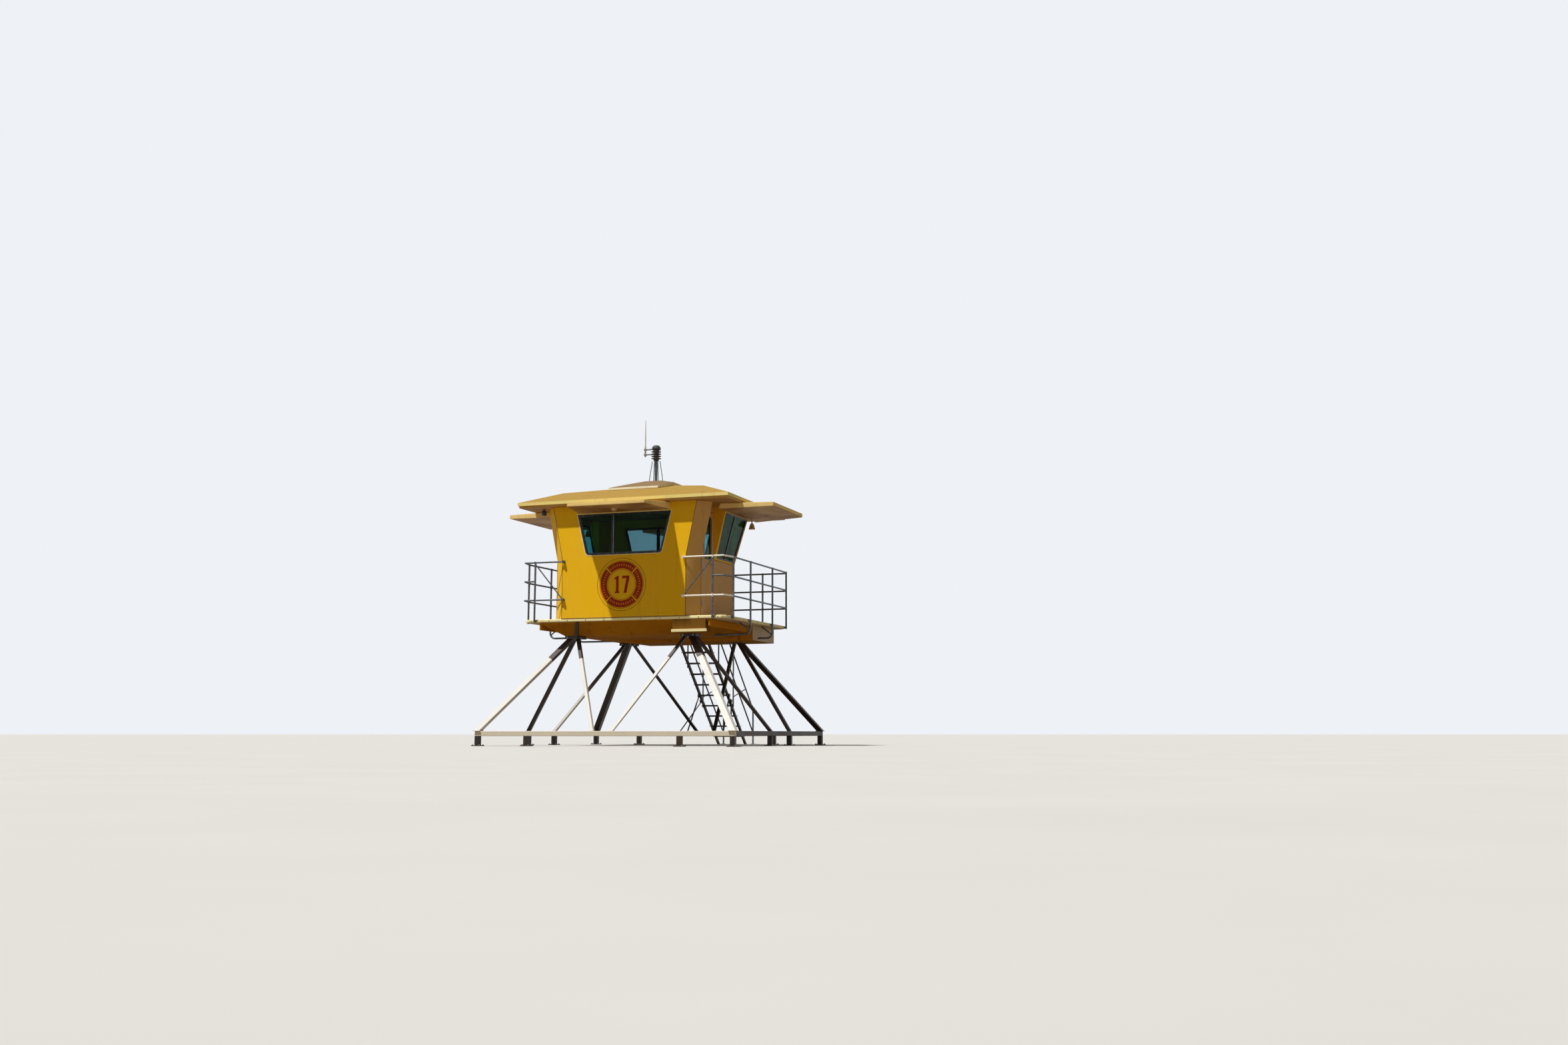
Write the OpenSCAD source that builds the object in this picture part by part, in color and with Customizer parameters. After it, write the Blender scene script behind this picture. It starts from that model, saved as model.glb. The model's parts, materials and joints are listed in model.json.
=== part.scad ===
// Lifeguard tower: a fibreglass cabin on a railed deck, carried by a splayed tube frame.
// Millimetres, +Z up. Origin on the ground under the middle of the whole footprint.
// The landward wall faces -Y. The sea is towards +Y, and so is the stair.
// Modules measure Y from the middle of the deck, and site() puts them in their place.

/* [Base frame] */
// Half distance between the left and right base beams
base_x = 2500; // [2300:10:2600]
// Half distance between the front and back base beams
base_y = 2450; // [2250:10:2550]
// Height of the underside of the base beams
base_z = 180; // [120:5:220]
// Size of the square base beams
beam = 90; // [80:5:100]
// Size of the square corner legs
leg_thick = 126; // [110:2:130]
// Size of the square thin legs
leg_thin = 66; // [50:2:80]

/* [Deck] */
// Height of the deck above the ground
deck_z = 2350; // [2200:10:2500]
// Half width of the deck
deck_x = 2050; // [2000:10:2080]
// Half depth of the deck
deck_y = 1658; // [1640:2:1700]
// Thickness of the deck slab
deck_t = 60; // [50:5:70]
// Cut at each deck corner
deck_cut = 100; // [60:10:120]
// Depth of the hull below the deck slab
hull_h = 240; // [220:10:280]

/* [Stair] */
// Number of treads
stair_n = 10; // [8:1:10]
// Height from one tread to the next
stair_rise = 214; // [200:1:220]
// Distance from one tread to the next
stair_run = 225; // [210:1:240]
// Half width of the treads
tread_w = 290; // [260:5:320]

/* [Railing] */
// Height of the top rail above the deck
rail_h = 1070; // [1000:10:1100]
// Diameter of the railing pipe
pipe = 36; // [30:1:40]

/* [Cabin] */
// Thickness of the cabin walls
wall = 50; // [40:5:60]
// Half width of the front wall below the sill
front_w = 1253; // [1200:1:1300]
// Half width of the cabin outside its side walls
cab_x = 1470; // [1440:5:1500]
// Depth of the cabin from front to back
cab_d = 2130; // [2000:10:2300]
// Height of the knee where the walls start to lean out
knee = 1100; // [1050:10:1150]
// Height of the walls
wall_h = 2110; // [2050:10:2160]
// How far the front wall and the corners spread at the top
spread = 210; // [150:10:250]
// How far the side bays lean out at the top
bay_out = 270; // [220:10:300]
// Width of the door zone in the right wall
door_zone = 640; // [620:10:680]
// Width of the doorway
door_w = 560; // [540:5:570]
// Height of the door leaf
door_h = 1960; // [1900:10:1980]

/* [Roof] */
// Half width of the roof at its eaves
roof_x = 2140; // [2080:10:2180]
// Half depth of the roof at its eaves
roof_y = 1615; // [1580:5:1650]
// Middle of the roof along Y
roof_cy = -212; // [-240:1:-180]
// Rise of the roof from its eaves to its cap
roof_rise = 450; // [400:10:560]

/* [Mast] */
// Diameter of the mast pole
mast_d = 60; // [36:1:60]
// Height of the mast pole
mast_h = 400; // [300:10:600]

/* [Hidden] */

yellow = "gold";
shade = "peru";
white = "white";
black = "dimgray";
galv = "silver";

e = 0.01;
mid_y = -930;                           // middle of the deck, seen from the origin
beam_top = base_z + beam;
slab_z = deck_z - deck_t;               // underside of the deck slab
hull_z = slab_z - hull_h;               // underside of the hull
hull_x = 1710;                          // half width of the hull under the slab
hull_y = 1630;                          // half depth of the hull under the slab
hull_side = 1340;                       // half width of its flat bottom
hull_end = 1352;                        // half depth of its flat bottom
hull_rim = 30;                          // upright rim above the raked faces
skirt_h = 140;                          // side skirts
skirt_t = 40;
head_h = 56;                            // welded heads on top of the legs
head_z = hull_z - head_h;
head_x = 1180;
head_y = 1200;
head_r = 150;
cab_y0 = -deck_y;                       // outside of the front wall
cab_y1 = cab_y0 + cab_d;                // outside of the back wall
fold_y0 = cab_y0 + (cab_x - front_w);   // front fold of the side walls
fold_y1 = cab_y1 - (cab_x - front_w);   // back fold of the side walls
bay_y0 = fold_y0 + door_zone;           // where the side bays start
wall_top = deck_z + wall_h;
lean = atan2(bay_out, wall_h - knee);   // lean of the bay windows
lean_l = norm([bay_out, wall_h - knee]);
rail_x = 2090;                          // axis of the side rails
rail_y = 1700;                          // axis of the end rails
rail_d = pipe - 4;
rail_top = deck_z + rail_h;
side_posts = [-1400, -500, 720, 1535];
outrig_posts = [-500, 720];             // posts that run on under the deck
front_bend = [2010, -1700];             // where the side rails turn to the front
back_bend = [2010, 1700];
front_post = 1800;
back_post = 1530;
tread_d = 240;
tread_t = 30;
tread_y = deck_y + 6;                   // landward edge of the top tread
first_drop = 240;                       // from the deck to the top tread
stringer_t = 40;
stringer_h = 80;                        // upright depth of a stringer
hand_x = 345;                           // axis of the stair handrails
hand_end = 4360;
hand_h = 1100;                          // handrail and mid rail above the stringer line
hand_mid = 600;
eave_z = wall_top + 40;
cap_h = 150;                            // raised cap over the crown of the roof

module site() translate([0, mid_y, 0]) children();

module pair() { children(); mirror([1, 0, 0]) children(); }

module prism(p0, s0, p1, s1) {
    // Straight square tube between two level squares
    hull() {
        translate([p0[0] - s0 / 2, p0[1] - s0 / 2, p0[2]]) cube([s0, s0, e]);
        translate([p1[0] - s1 / 2, p1[1] - s1 / 2, p1[2] - e]) cube([s1, s1, e]);
    }
}

module rod(a, b, d) {
    // Round bar from a to b
    v = b - a;
    l = norm(v);
    translate(a) rotate([0, acos(v[2] / l), atan2(v[1], v[0])]) cylinder(h = l, d = d, $fn = 24);
}

module bead(p, d) translate(p) sphere(d = d, $fn = 24);

module box(lo, hi) translate(lo) cube(hi - lo);

module side_profile(x, t) {
    // Plate standing across X, its outline given in Y and Z
    translate([x, 0, 0]) rotate([90, 0, 90]) linear_extrude(t) children();
}

module end_profile(y, t) {
    // Plate standing across Y, its outline given in X and Z
    translate([0, y + t, 0]) rotate([90, 0, 0]) linear_extrude(t) children();
}

module base_beam_front() site() color(white)
    box([-base_x - beam / 2, -base_y - beam / 2, base_z], [base_x + beam / 2, -base_y + beam / 2, beam_top]);

module back_beam() box([-base_x - beam / 2, base_y - beam / 2, base_z], [base_x + beam / 2, base_y + beam / 2, beam_top]);

module base_beam_back() site() color(black) back_beam();

module side_beam()
    box([base_x - beam / 2, -base_y + beam / 2, base_z], [base_x + beam / 2, base_y - beam / 2, beam_top]);

module base_beam_left() site() color(black) mirror([1, 0, 0]) side_beam();
module base_beam_right() site() color(black) side_beam();

module foot(x, y) {
    translate([x - 45, y - 45, 14]) cube([90, 90, base_z - 14]);
    translate([x - 90, y - 90, 0]) cube([180, 180, 14]);
}

module feet() site() color(black) {
    for (x = [-base_x, base_x], y = [-base_y, -540, 540, base_y]) foot(x, y);
    for (x = [-1500, 1500], y = [-base_y, base_y]) foot(x, y);
}

module corner_leg() {
    // Thick leg on its base plate
    box([base_x - 75, base_y - 75, beam_top], [base_x + 75, base_y + 75, beam_top + 12]);
    prism([base_x, base_y, beam_top + 12], leg_thick, [head_x + 60, head_y + 60, head_z], leg_thick);
}
module end_leg() prism([190, base_y, beam_top], leg_thin, [head_x - 90, head_y + 70, head_z], leg_thin);
module side_leg() prism([base_x, 540, beam_top], leg_thin + 10, [head_x + 70, head_y - 90, head_z], leg_thin + 10);

module back_legs() site() color(black) pair() { corner_leg(); end_leg(); }
module front_legs() site() color(white) mirror([0, 1, 0]) pair() { corner_leg(); end_leg(); }
module right_legs() site() color(black) { side_leg(); mirror([0, 1, 0]) side_leg(); }
module left_legs() site() color(black) mirror([1, 0, 0]) { side_leg(); mirror([0, 1, 0]) side_leg(); }

module head(x, y) box([x - head_r, y - head_r, head_z], [x + head_r, y + head_r, hull_z]);

module leg_heads() site() color(black) {
    for (x = [-head_x, head_x], y = [-head_y, head_y]) head(x, y);
    // Flat strap from the front left head up to the lip
    hull() {
        box([-960, -1656, slab_z - e], [-900, -1634, slab_z]);
        box([-1120, -head_y - head_r - 22, head_z + 16], [-1060, -head_y - head_r, head_z + 17]);
    }
}

module hull_body() {
    // Tray with raked faces all round, and two upright side skirts
    intersection() {
        end_profile(-hull_y, 2 * hull_y) polygon([[-hull_x, slab_z], [-hull_x, slab_z - hull_rim],
            [-hull_side, hull_z], [hull_side, hull_z], [hull_x, slab_z - hull_rim], [hull_x, slab_z]]);
        side_profile(-hull_x, 2 * hull_x) polygon([[-hull_y, slab_z], [-hull_y + 30, slab_z - hull_rim],
            [-hull_end, hull_z], [hull_end, hull_z], [hull_y - 30, slab_z - hull_rim], [hull_y, slab_z]]);
    }
    pair() box([hull_x - 20, -hull_y, slab_z - skirt_h], [hull_x - 20 + skirt_t, hull_y, slab_z]);
}

module deck_hull() site() color(shade) hull_body();

module keel_solid() difference() {
    box([-900, 400, hull_z - 40], [1800, 1620, slab_z]);
    hull_body();
    head(head_x, head_y);
}

module keel_box() site() color(shade) keel_solid();

module front_ledge() site() color(yellow) {
    // Shallow box on the raked front of the hull, with a lip along its foot
    z = hull_z + 20;
    slope = (hull_y - 30 - hull_end) / (hull_h - hull_rim);
    side_profile(1000, 650) polygon([[-1650, slab_z], [-hull_y, slab_z], [-hull_y + 30, slab_z - hull_rim],
        [-hull_end - (z - hull_z) * slope, z], [-1650, z]]);
    box([990, -1690, z - 15], [1680, -1650, z + 35]);
}

module deck_outline(x, y, c)
    polygon([[-x + c, -y], [x - c, -y], [x, -y + c], [x, y - c], [x - c, y], [-x + c, y], [-x, y - c], [-x, -y + c]]);

module deck_lip() site() color("khaki") translate([0, 0, slab_z]) linear_extrude(deck_t) difference() {
    deck_outline(deck_x, deck_y, deck_cut);
    deck_outline(deck_x - 50, deck_y - 50, deck_cut - 29);
}

module deck_floor() site() color("tan") translate([0, 0, slab_z]) linear_extrude(deck_t)
    deck_outline(deck_x - 50, deck_y - 50, deck_cut - 29);

function line_z(y) = deck_z - first_drop - tread_t / 2 - (y - tread_y - tread_d / 2) * stair_rise / stair_run;
function line_y(z) = tread_y + tread_d / 2 + (deck_z - first_drop - tread_t / 2 - z) * stair_run / stair_rise;

module stringer() side_profile(tread_w, stringer_t) {
    // Sloping plate, hung on the back of the lip and cut level at the ground
    h = stringer_h / 2;
    polygon([[deck_y, deck_z - 8], [rail_y - 20, deck_z - 8], [rail_y - 20, line_z(rail_y - 20) + h],
        [line_y(-h), 0], [line_y(h), 0], [deck_y, line_z(deck_y) - h]]);
}

module strut(x, y) {
    // From the back beam up to a lug on the outside of the stringer
    lug = [tread_w + stringer_t, y - 30, line_z(y) - 30];
    prism([x, base_y, beam_top], 24, lug + [15, 30, 0], 24);
    box(lug, lug + [30, 60, 60]);
}

module stair_stringers() site() color(black) {
    // Stringers, and the thin struts that hold them to the back beam
    pair() stringer();
    pair() for (s = [[570, 3030], [400, 2910]]) strut(s[0], s[1]);
}

module stair_treads() site() color(black)
    for (i = [0:stair_n - 1])
        translate([-tread_w, tread_y + stair_run * i, deck_z - first_drop - tread_t - stair_rise * i])
            cube([2 * tread_w, tread_d, tread_t]);

module end_post(x) translate([x, rail_y, slab_z]) cylinder(h = rail_top + pipe / 2 - slab_z, d = pipe, $fn = 24);

module stair_handrail() difference() {
    union() {
        top = line_z(hand_end) + hand_h;
        for (h = [hand_mid, hand_h])
            rod([hand_x, rail_y, line_z(rail_y) + h], [hand_x, hand_end, line_z(hand_end) + h], rail_d);
        bead([hand_x, hand_end, top], pipe);
        rod([hand_x, hand_end, 8], [hand_x, hand_end, top], pipe);
        box([hand_x - 45, hand_end - 45, 0], [hand_x + 45, hand_end + 45, 8]);
        for (y = [2300, 3150]) {
            rod([hand_x, y, line_z(y) - 20], [hand_x, y, line_z(y) + hand_h], 30);
            box([tread_w + stringer_t, y - 15, line_z(y) - 20], [hand_x, y + 15, line_z(y) + 10]);
        }
        rod([hand_x, 3150, line_z(3150) + 200], [hand_x, 3900, line_z(3900) + hand_h], 24);
    }
    end_post(hand_x);
}

module stair_handrail_left() site() color(galv) mirror([1, 0, 0]) stair_handrail();
module stair_handrail_right() site() color(galv) stair_handrail();

module side_post(y) {
    // Post with its bracket on the lip
    translate([rail_x, y, slab_z]) cylinder(h = rail_top + pipe / 2 - slab_z, d = pipe, $fn = 24);
    box([deck_x, y - 22, slab_z + 10], [rail_x, y + 22, deck_z - 8]);
}

module railing_side() {
    for (y = side_posts) side_post(y);
    for (k = [1:3])
        rod([rail_x, side_posts[0], deck_z + rail_h * k / 3], [rail_x, side_posts[3], deck_z + rail_h * k / 3], rail_d);
}

module railing_left() site() color(galv) mirror([1, 0, 0]) railing_side();
module railing_right() site() color(galv) railing_side();

module rail_run(points, z) {
    // Rail through a list of points in plan, with a rounded joint at each inner point
    for (i = [0:len(points) - 2])
        rod([points[i][0], points[i][1], z], [points[i + 1][0], points[i + 1][1], z], rail_d);
    for (i = [1:len(points) - 2]) bead([points[i][0], points[i][1], z], pipe);
}

module railing_back() difference() {
    union() {
        for (x = [hand_x, back_post]) {
            end_post(x);
            box([x - 22, deck_y, slab_z + 10], [x + 22, rail_y, deck_z - 8]);
        }
        for (k = [1:3])
            rail_run([[rail_x, side_posts[3]], back_bend, [hand_x, rail_y]], deck_z + rail_h * k / 3);
    }
    side_post(side_posts[3]);
    pair() stringer();
}

module railing_back_left() site() color(galv) mirror([1, 0, 0]) railing_back();
module railing_back_right() site() color(galv) railing_back();

module railing_front() difference() {
    union() {
        corner = [rail_x, side_posts[0]];
        low = deck_z + rail_h / 3;
        mirror([0, 1, 0]) end_post(front_post);
        box([front_post - 22, -rail_y, slab_z + 10], [front_post + 22, -deck_y, deck_z - 8]);
        for (z = [low, rail_top]) {
            rail_run([corner, front_bend, [front_w - 40, -rail_y]], z);
            box([front_w - 55, -rail_y - 22, z - 22], [front_w - 15, -deck_y, z + 22]);
        }
        rail_run([corner, front_bend, [front_post, -rail_y]], deck_z + rail_h * 2 / 3);
        rod([front_post, -rail_y, rail_top - 30], [front_w - 35, -rail_y, low], 24);
    }
    side_post(side_posts[0]);
}

module railing_front_left() site() color(galv) mirror([1, 0, 0]) railing_front();
module railing_front_right() site() color(galv) railing_front();

module outrigger(y) {
    // Pipe from the foot of a post, bent in under the deck to the side of the hull
    r = 110;
    z = slab_z - 225;
    difference() {
        union() {
            rod([rail_x, y, z + r], [rail_x, y, slab_z], pipe);
            translate([rail_x - r, y, z + r]) rotate([90, 0, 0]) rotate([0, 0, -90])
                rotate_extrude(angle = 90, $fn = 48) translate([r, 0]) circle(d = pipe, $fn = 24);
            rod([hull_side - 100, y, z], [rail_x - r, y, z], pipe);
            rod([1840, y, slab_z + 20], [rail_x, y, slab_z - 170], 26);
        }
        hull_body();
        box([0, y - 50, slab_z], [1950, y + 50, deck_z]);
    }
}

module outriggers() site() color(galv) difference() {
    pair() for (y = outrig_posts) outrigger(y);
    keel_solid();
}

sill = 1175;                            // bottom and top of the end windows
win_top = 1950;
win_lo = 765;                           // half width at the bottom and the top
win_hi = 955;
win_r = 80;                             // rounded lower corners
win_frame = 24;                         // width of the black frame
mullion = [-240, -205];                 // off-centre, from the left

module window_outline(inset) {
    // Window outline, brought in by inset all round
    k = (win_hi - win_lo) / (win_top - sill);
    side = inset * sqrt(1 + k * k);
    function edge_x(z) = win_lo + (z - sill) * k - side;
    t = win_r * tan((90 - atan(k)) / 2);
    z0 = sill + inset;
    z1 = win_top - inset;
    r = win_r - inset;
    translate([0, deck_z]) {
        polygon([[-win_lo + t, z0], [win_lo - t, z0], [edge_x(sill + win_r), sill + win_r], [edge_x(z1), z1],
            [-edge_x(z1), z1], [-edge_x(sill + win_r), sill + win_r]]);
        for (s = [-1, 1]) translate([s * (win_lo - t), sill + win_r]) circle(r = r, $fn = 48);
    }
}

module end_wall(y) end_profile(y, wall) difference() {
    translate([0, deck_z]) polygon([[-front_w, 0], [front_w, 0], [front_w, knee], [front_w + spread, wall_h],
        [-front_w - spread, wall_h], [-front_w, knee]]);
    window_outline(0);
}

module front_wall() site() color(yellow) end_wall(cab_y0);
module back_wall() site() color(yellow) end_wall(cab_y1 - wall);

module end_frame(y) difference() {
    // Black frame with an off-centre mullion
    end_profile(y + 8, 34) window_outline(0);
    difference() {
        end_profile(y, wall) window_outline(win_frame);
        box([mullion[0], y, deck_z], [mullion[1], y + wall, wall_top]);
    }
}

module end_pane(y) difference() {
    end_profile(y + 21, 8) window_outline(win_frame);
    box([mullion[0], y, deck_z], [mullion[1], y + wall, wall_top]);
}

module left_wall() site() color(yellow) mirror([1, 0, 0]) {
    box([cab_x - wall, fold_y0, deck_z], [cab_x, fold_y1, deck_z + knee]);
    box([cab_x - wall, fold_y0, deck_z + knee], [cab_x, bay_y0, wall_top]);
}

module right_wall() site() color(shade)
    box([cab_x - wall, bay_y0, deck_z], [cab_x, fold_y1, deck_z + knee]);

module corner_plan(grow)
    polygon([[front_w, cab_y0], [cab_x + grow, fold_y0], [cab_x - wall, fold_y0], [front_w, cab_y0 + wall]]);

module corner_panel() {
    // Front right corner: upright below the knee, spreading out above it
    translate([0, 0, deck_z]) linear_extrude(knee) corner_plan(0);
    hull() {
        translate([e, 0, deck_z + knee]) linear_extrude(e) corner_plan(0);
        translate([spread + e, 0, wall_top - e]) linear_extrude(e) corner_plan(0);
    }
}

module back_corner_panel() translate([0, cab_y0 + cab_y1, 0]) mirror([0, 1, 0]) corner_panel();

module corner_panels() site() color(yellow) pair() {
    corner_panel();
    back_corner_panel();
    // Return behind the spread top of the front corner
    end_profile(fold_y0, 20) translate([0, deck_z])
        polygon([[cab_x, knee], [cab_x + spread, wall_h], [cab_x, wall_h]]);
}

bay_splay = [60, 100];                  // how far the bay widens at the top, front and back
bay_t = 42;

module bay_plan(x, y0, y1, z) box([x - e, y0, z], [x, y1, z + e]);

module bay_opening(inset, x, t) {
    // Window opening of the right bay, in the leaning plane
    translate([cab_x, 0, deck_z + knee]) rotate([0, lean, 0]) side_profile(x, t)
        polygon([[bay_y0 + 84 + inset, 36 + inset], [fold_y1 - 46 - inset, 36 + inset],
            [fold_y1 + 64 - inset, lean_l - 118 - inset], [bay_y0 - 18 + inset, lean_l - 118 - inset]]);
}

module bay() {
    // Bay moulded in one piece: leaning front, splayed cheeks and a sill on the lower wall
    z0 = deck_z + knee;
    x1 = cab_x + bay_out;
    s = bay_splay;
    difference() {
        union() {
            box([cab_x - wall, bay_y0, z0], [cab_x, fold_y1, wall_top]);
            hull() {
                bay_plan(cab_x, bay_y0, fold_y1, z0);
                bay_plan(cab_x, bay_y0, fold_y1, wall_top - e);
                bay_plan(x1, bay_y0 - s[0], fold_y1 + s[1], wall_top - e);
            }
        }
        hull() {
            bay_plan(cab_x - wall - 1, bay_y0 + bay_t, fold_y1 - bay_t, z0 + 30);
            bay_plan(cab_x - bay_t, bay_y0 + bay_t, fold_y1 - bay_t, z0 + 30);
            bay_plan(cab_x - wall - 1, bay_y0 + bay_t, fold_y1 - bay_t, wall_top + 1);
            bay_plan(x1 - bay_t, bay_y0 - s[0] + bay_t, fold_y1 + s[1] - bay_t, wall_top + 1);
        }
        bay_opening(0, -100, 120);
        back_corner_panel();
    }
}

module right_bay() site() color(shade) bay();
module left_bay() site() color(yellow) mirror([1, 0, 0]) bay();

module bay_mullion() translate([cab_x, -310, deck_z + knee]) rotate([0, lean, 0]) translate([-60, 0, 0]) cube([80, 36, lean_l]);

module bay_frame() difference() {
    bay_opening(0, -36, 30);
    difference() {
        bay_opening(28, -50, 60);
        bay_mullion();
    }
    back_corner_panel();
}

module bay_pane() difference() {
    bay_opening(28, -24, 8);
    bay_mullion();
}

module window_frames() site() color(black) {
    end_frame(cab_y0);
    end_frame(cab_y1 - wall);
    pair() bay_frame();
}

module window_glass() site() color("teal") {
    end_pane(cab_y0);
    end_pane(cab_y1 - wall);
    pair() bay_pane();
}

jamb = (door_zone - door_w) / 2;        // width of each door jamb

module door_frame() site() color(shade) {
    box([cab_x - wall, fold_y0, deck_z], [cab_x, fold_y0 + jamb, wall_top]);
    box([cab_x - wall, bay_y0 - jamb, deck_z], [cab_x, bay_y0, wall_top]);
    box([cab_x - wall, fold_y0 + jamb, deck_z + door_h + 20], [cab_x, bay_y0 - jamb, wall_top]);
}

module pane(y0, y1, z0, z1, r) {
    // Upright pane outline with round corners
    translate([y0 + r, z0]) square([y1 - y0 - 2 * r, z1 - z0]);
    translate([y0, z0 + r]) square([y1 - y0, z1 - z0 - 2 * r]);
    for (y = [y0 + r, y1 - r], z = [z0 + r, z1 - r]) translate([y, z]) circle(r = r, $fn = 48);
}

leaf_y0 = fold_y0 + jamb + 6;           // hinged edge and free edge of the leaf
leaf_y1 = bay_y0 - jamb - 8;
leaf_x = cab_x - 2;                     // outside of the leaf
pane_y = [leaf_y0 + 100, leaf_y1 - 100];
pane_z = [deck_z + 1090, deck_z + 1870];

module door() site() color(shade) difference() {
    box([leaf_x - 40, leaf_y0, deck_z + 12], [leaf_x, leaf_y1, deck_z + door_h + 12]);
    side_profile(leaf_x - 41, 42) pane(pane_y[0], pane_y[1], pane_z[0], pane_z[1], 60);
}

module door_glass() site() color("teal")
    side_profile(leaf_x - 24, 8) pane(pane_y[0], pane_y[1], pane_z[0], pane_z[1], 60);

module door_handle() site() color(galv) {
    y = leaf_y1 - 50;
    z = deck_z + 1000;
    translate([leaf_x, y, z]) rotate([0, 90, 0]) cylinder(h = 8, d = 50, $fn = 32);
    translate([leaf_x + 8, y, z]) rotate([0, 90, 0]) cylinder(h = 32, d = 20, $fn = 24);
    box([leaf_x + 32, y - 110, z - 10], [leaf_x + 44, y + 10, z + 10]);
}

module roof_soffit() site() color(shade)
    box([-roof_x + 20, roof_cy - roof_y + 20, wall_top], [roof_x - 20, roof_cy + roof_y - 20, eave_z]);

module slab(x, y, z) translate([-x, roof_cy - y, z]) cube([2 * x, 2 * y, e]);

brim = [1450, 1090, 290];               // where the roof slope turns flatter
crown = [550, 350];
shell = 50;

module roof_form(inset, drop) {
    // Hipped form in two slopes, brought in and down by a shell thickness
    hull() {
        slab(roof_x - inset, roof_y - inset, eave_z - drop / 50);
        slab(roof_x - inset, roof_y - inset, eave_z + 60 - drop);
        slab(brim[0] - inset, brim[1] - inset, eave_z + brim[2] - drop);
    }
    hull() {
        slab(brim[0] - inset, brim[1] - inset, eave_z + brim[2] - drop - e);
        slab(crown[0], crown[1], eave_z + roof_rise - e - drop);
    }
}

module roof() site() color(yellow) difference() {
    roof_form(0, 0);
    roof_form(70, shell);
}

module roof_cap() site() color(yellow) difference() {
    // Panel laid over both slopes from brim to brim, highest under the mast
    hull() {
        slab(520, brim[1] - 20, eave_z + brim[2] - 40);
        slab(520, brim[1] - 20, eave_z + brim[2] + 55);
        slab(520, 330, eave_z + roof_rise + 70);
        slab(170, 150, eave_z + roof_rise + cap_h - e);
    }
    roof_form(0, 0);
}

visor_fall = 66;                        // how far an end visor's outer edge hangs below its root

module visor(d0, w0, drop, d1, w1) {
    // Awning under the soffit, from distance d0 to d1 along -Y, tapering to its outer edge
    hull() {
        translate([-w0, -d0, wall_top - drop]) cube([2 * w0, e, drop]);
        translate([-w1, -d1, wall_top - visor_fall - 64]) cube([2 * w1, e, 64]);
    }
}

module visor_front() site() color(yellow) visor(deck_y + e, 940, 140, 2457, 777);
module visor_back() site() color(yellow)
    translate([0, 2 * roof_cy, 0]) mirror([0, 1, 0]) visor(deck_y, 940, 140, 2457, 777);

module side_visor() {
    // Its inner face lies on the leaning bay
    k = bay_out / (wall_h - knee);
    x = cab_x + bay_out + 2 * e;
    hull() {
        box([x - 110 * k, roof_cy - 1000, wall_top - 110], [x - 110 * k + e, roof_cy + 1000, wall_top - 110 + e]);
        box([x, roof_cy - 1000, wall_top - e], [x + e, roof_cy + 1000, wall_top]);
        box([2743 - e, roof_cy - 838, wall_top - 75], [2743, roof_cy + 838, wall_top]);
    }
}

module visor_right() site() color(shade) side_visor();
module visor_left() site() color(yellow) mirror([1, 0, 0]) side_visor();

cap_z = eave_z + roof_rise + cap_h;
pole_top = cap_z + 12 + mast_h;

module mast() site() color(galv) {
    translate([0, roof_cy, cap_z]) cylinder(h = 12, d = 150, $fn = 48);
    translate([0, roof_cy, cap_z + 12]) cylinder(h = mast_h, d = mast_d, $fn = 32);
    // Stays from the cap up to the underside of the head
    for (p = [[-1, 0], [1, 0], [0, -1], [0, 1]]) difference() {
        rod([150 * p[0], roof_cy + 125 * p[1], cap_z - 10], [80 * p[0], roof_cy + 80 * p[1], pole_top + 10], 14);
        translate([0, roof_cy, cap_z - 50]) cylinder(h = 50, r = 200, $fn = 32);
        translate([0, roof_cy, pole_top]) cylinder(h = 50, r = 200, $fn = 32);
    }
}

module mast_head() site() color("dimgray") {
    translate([0, roof_cy, pole_top]) cylinder(h = 300, d = 190, $fn = 48);
    translate([0, roof_cy, pole_top + 300]) cylinder(h = 20, d1 = 190, d2 = 120, $fn = 48);
    // Whip aerial on a short arm
    rod([-60, roof_cy, pole_top + 150], [-230, roof_cy, pole_top + 170], 20);
    rod([-230, roof_cy, pole_top + 140], [-240, roof_cy, pole_top + 850], 14);
}

module lamp(x, y, z) {
    translate([x, y, z]) cylinder(h = 110, d1 = 130, d2 = 60, $fn = 32);
    rod([x, y, z + 110], [x, y, wall_top], 24);
}

module eave_lamps() site() color("dimgray") difference() {
    // One small lamp under each side visor
    union() {
        lamp(1770, 420, wall_top - 290);
        lamp(-1770, 420, wall_top - 290);
    }
    pair() side_visor();
}

base_beam_front();
base_beam_back();
base_beam_left();
base_beam_right();
feet();
front_legs();
back_legs();
left_legs();
right_legs();
leg_heads();
deck_hull();
keel_box();
front_ledge();
deck_lip();
deck_floor();
stair_stringers();
stair_treads();
stair_handrail_left();
stair_handrail_right();
railing_left();
railing_right();
railing_back_left();
railing_back_right();
railing_front_left();
railing_front_right();
outriggers();
front_wall();
back_wall();
left_wall();
right_wall();
left_bay();
right_bay();
corner_panels();
door_frame();
door();
door_glass();
door_handle();
window_frames();
window_glass();
roof_soffit();
roof();
visor_front();
visor_back();
visor_left();
visor_right();
roof_cap();
mast();
mast_head();
eave_lamps();
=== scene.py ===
# %% [markdown]
# # A lifeguard tower
# A fibreglass cabin stands on a railed deck, carried by a splayed frame of square steel tube.
# The CAD model gives every solid its size and place. This lesson gives the tower its finishes,
# softens its moulded edges, and adds the small things a maker would fit: bolts, weld collars,
# sealant, sashes, hinges, the roundel and the gear on the mast.

# %% Load the frame
import json
import math

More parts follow.
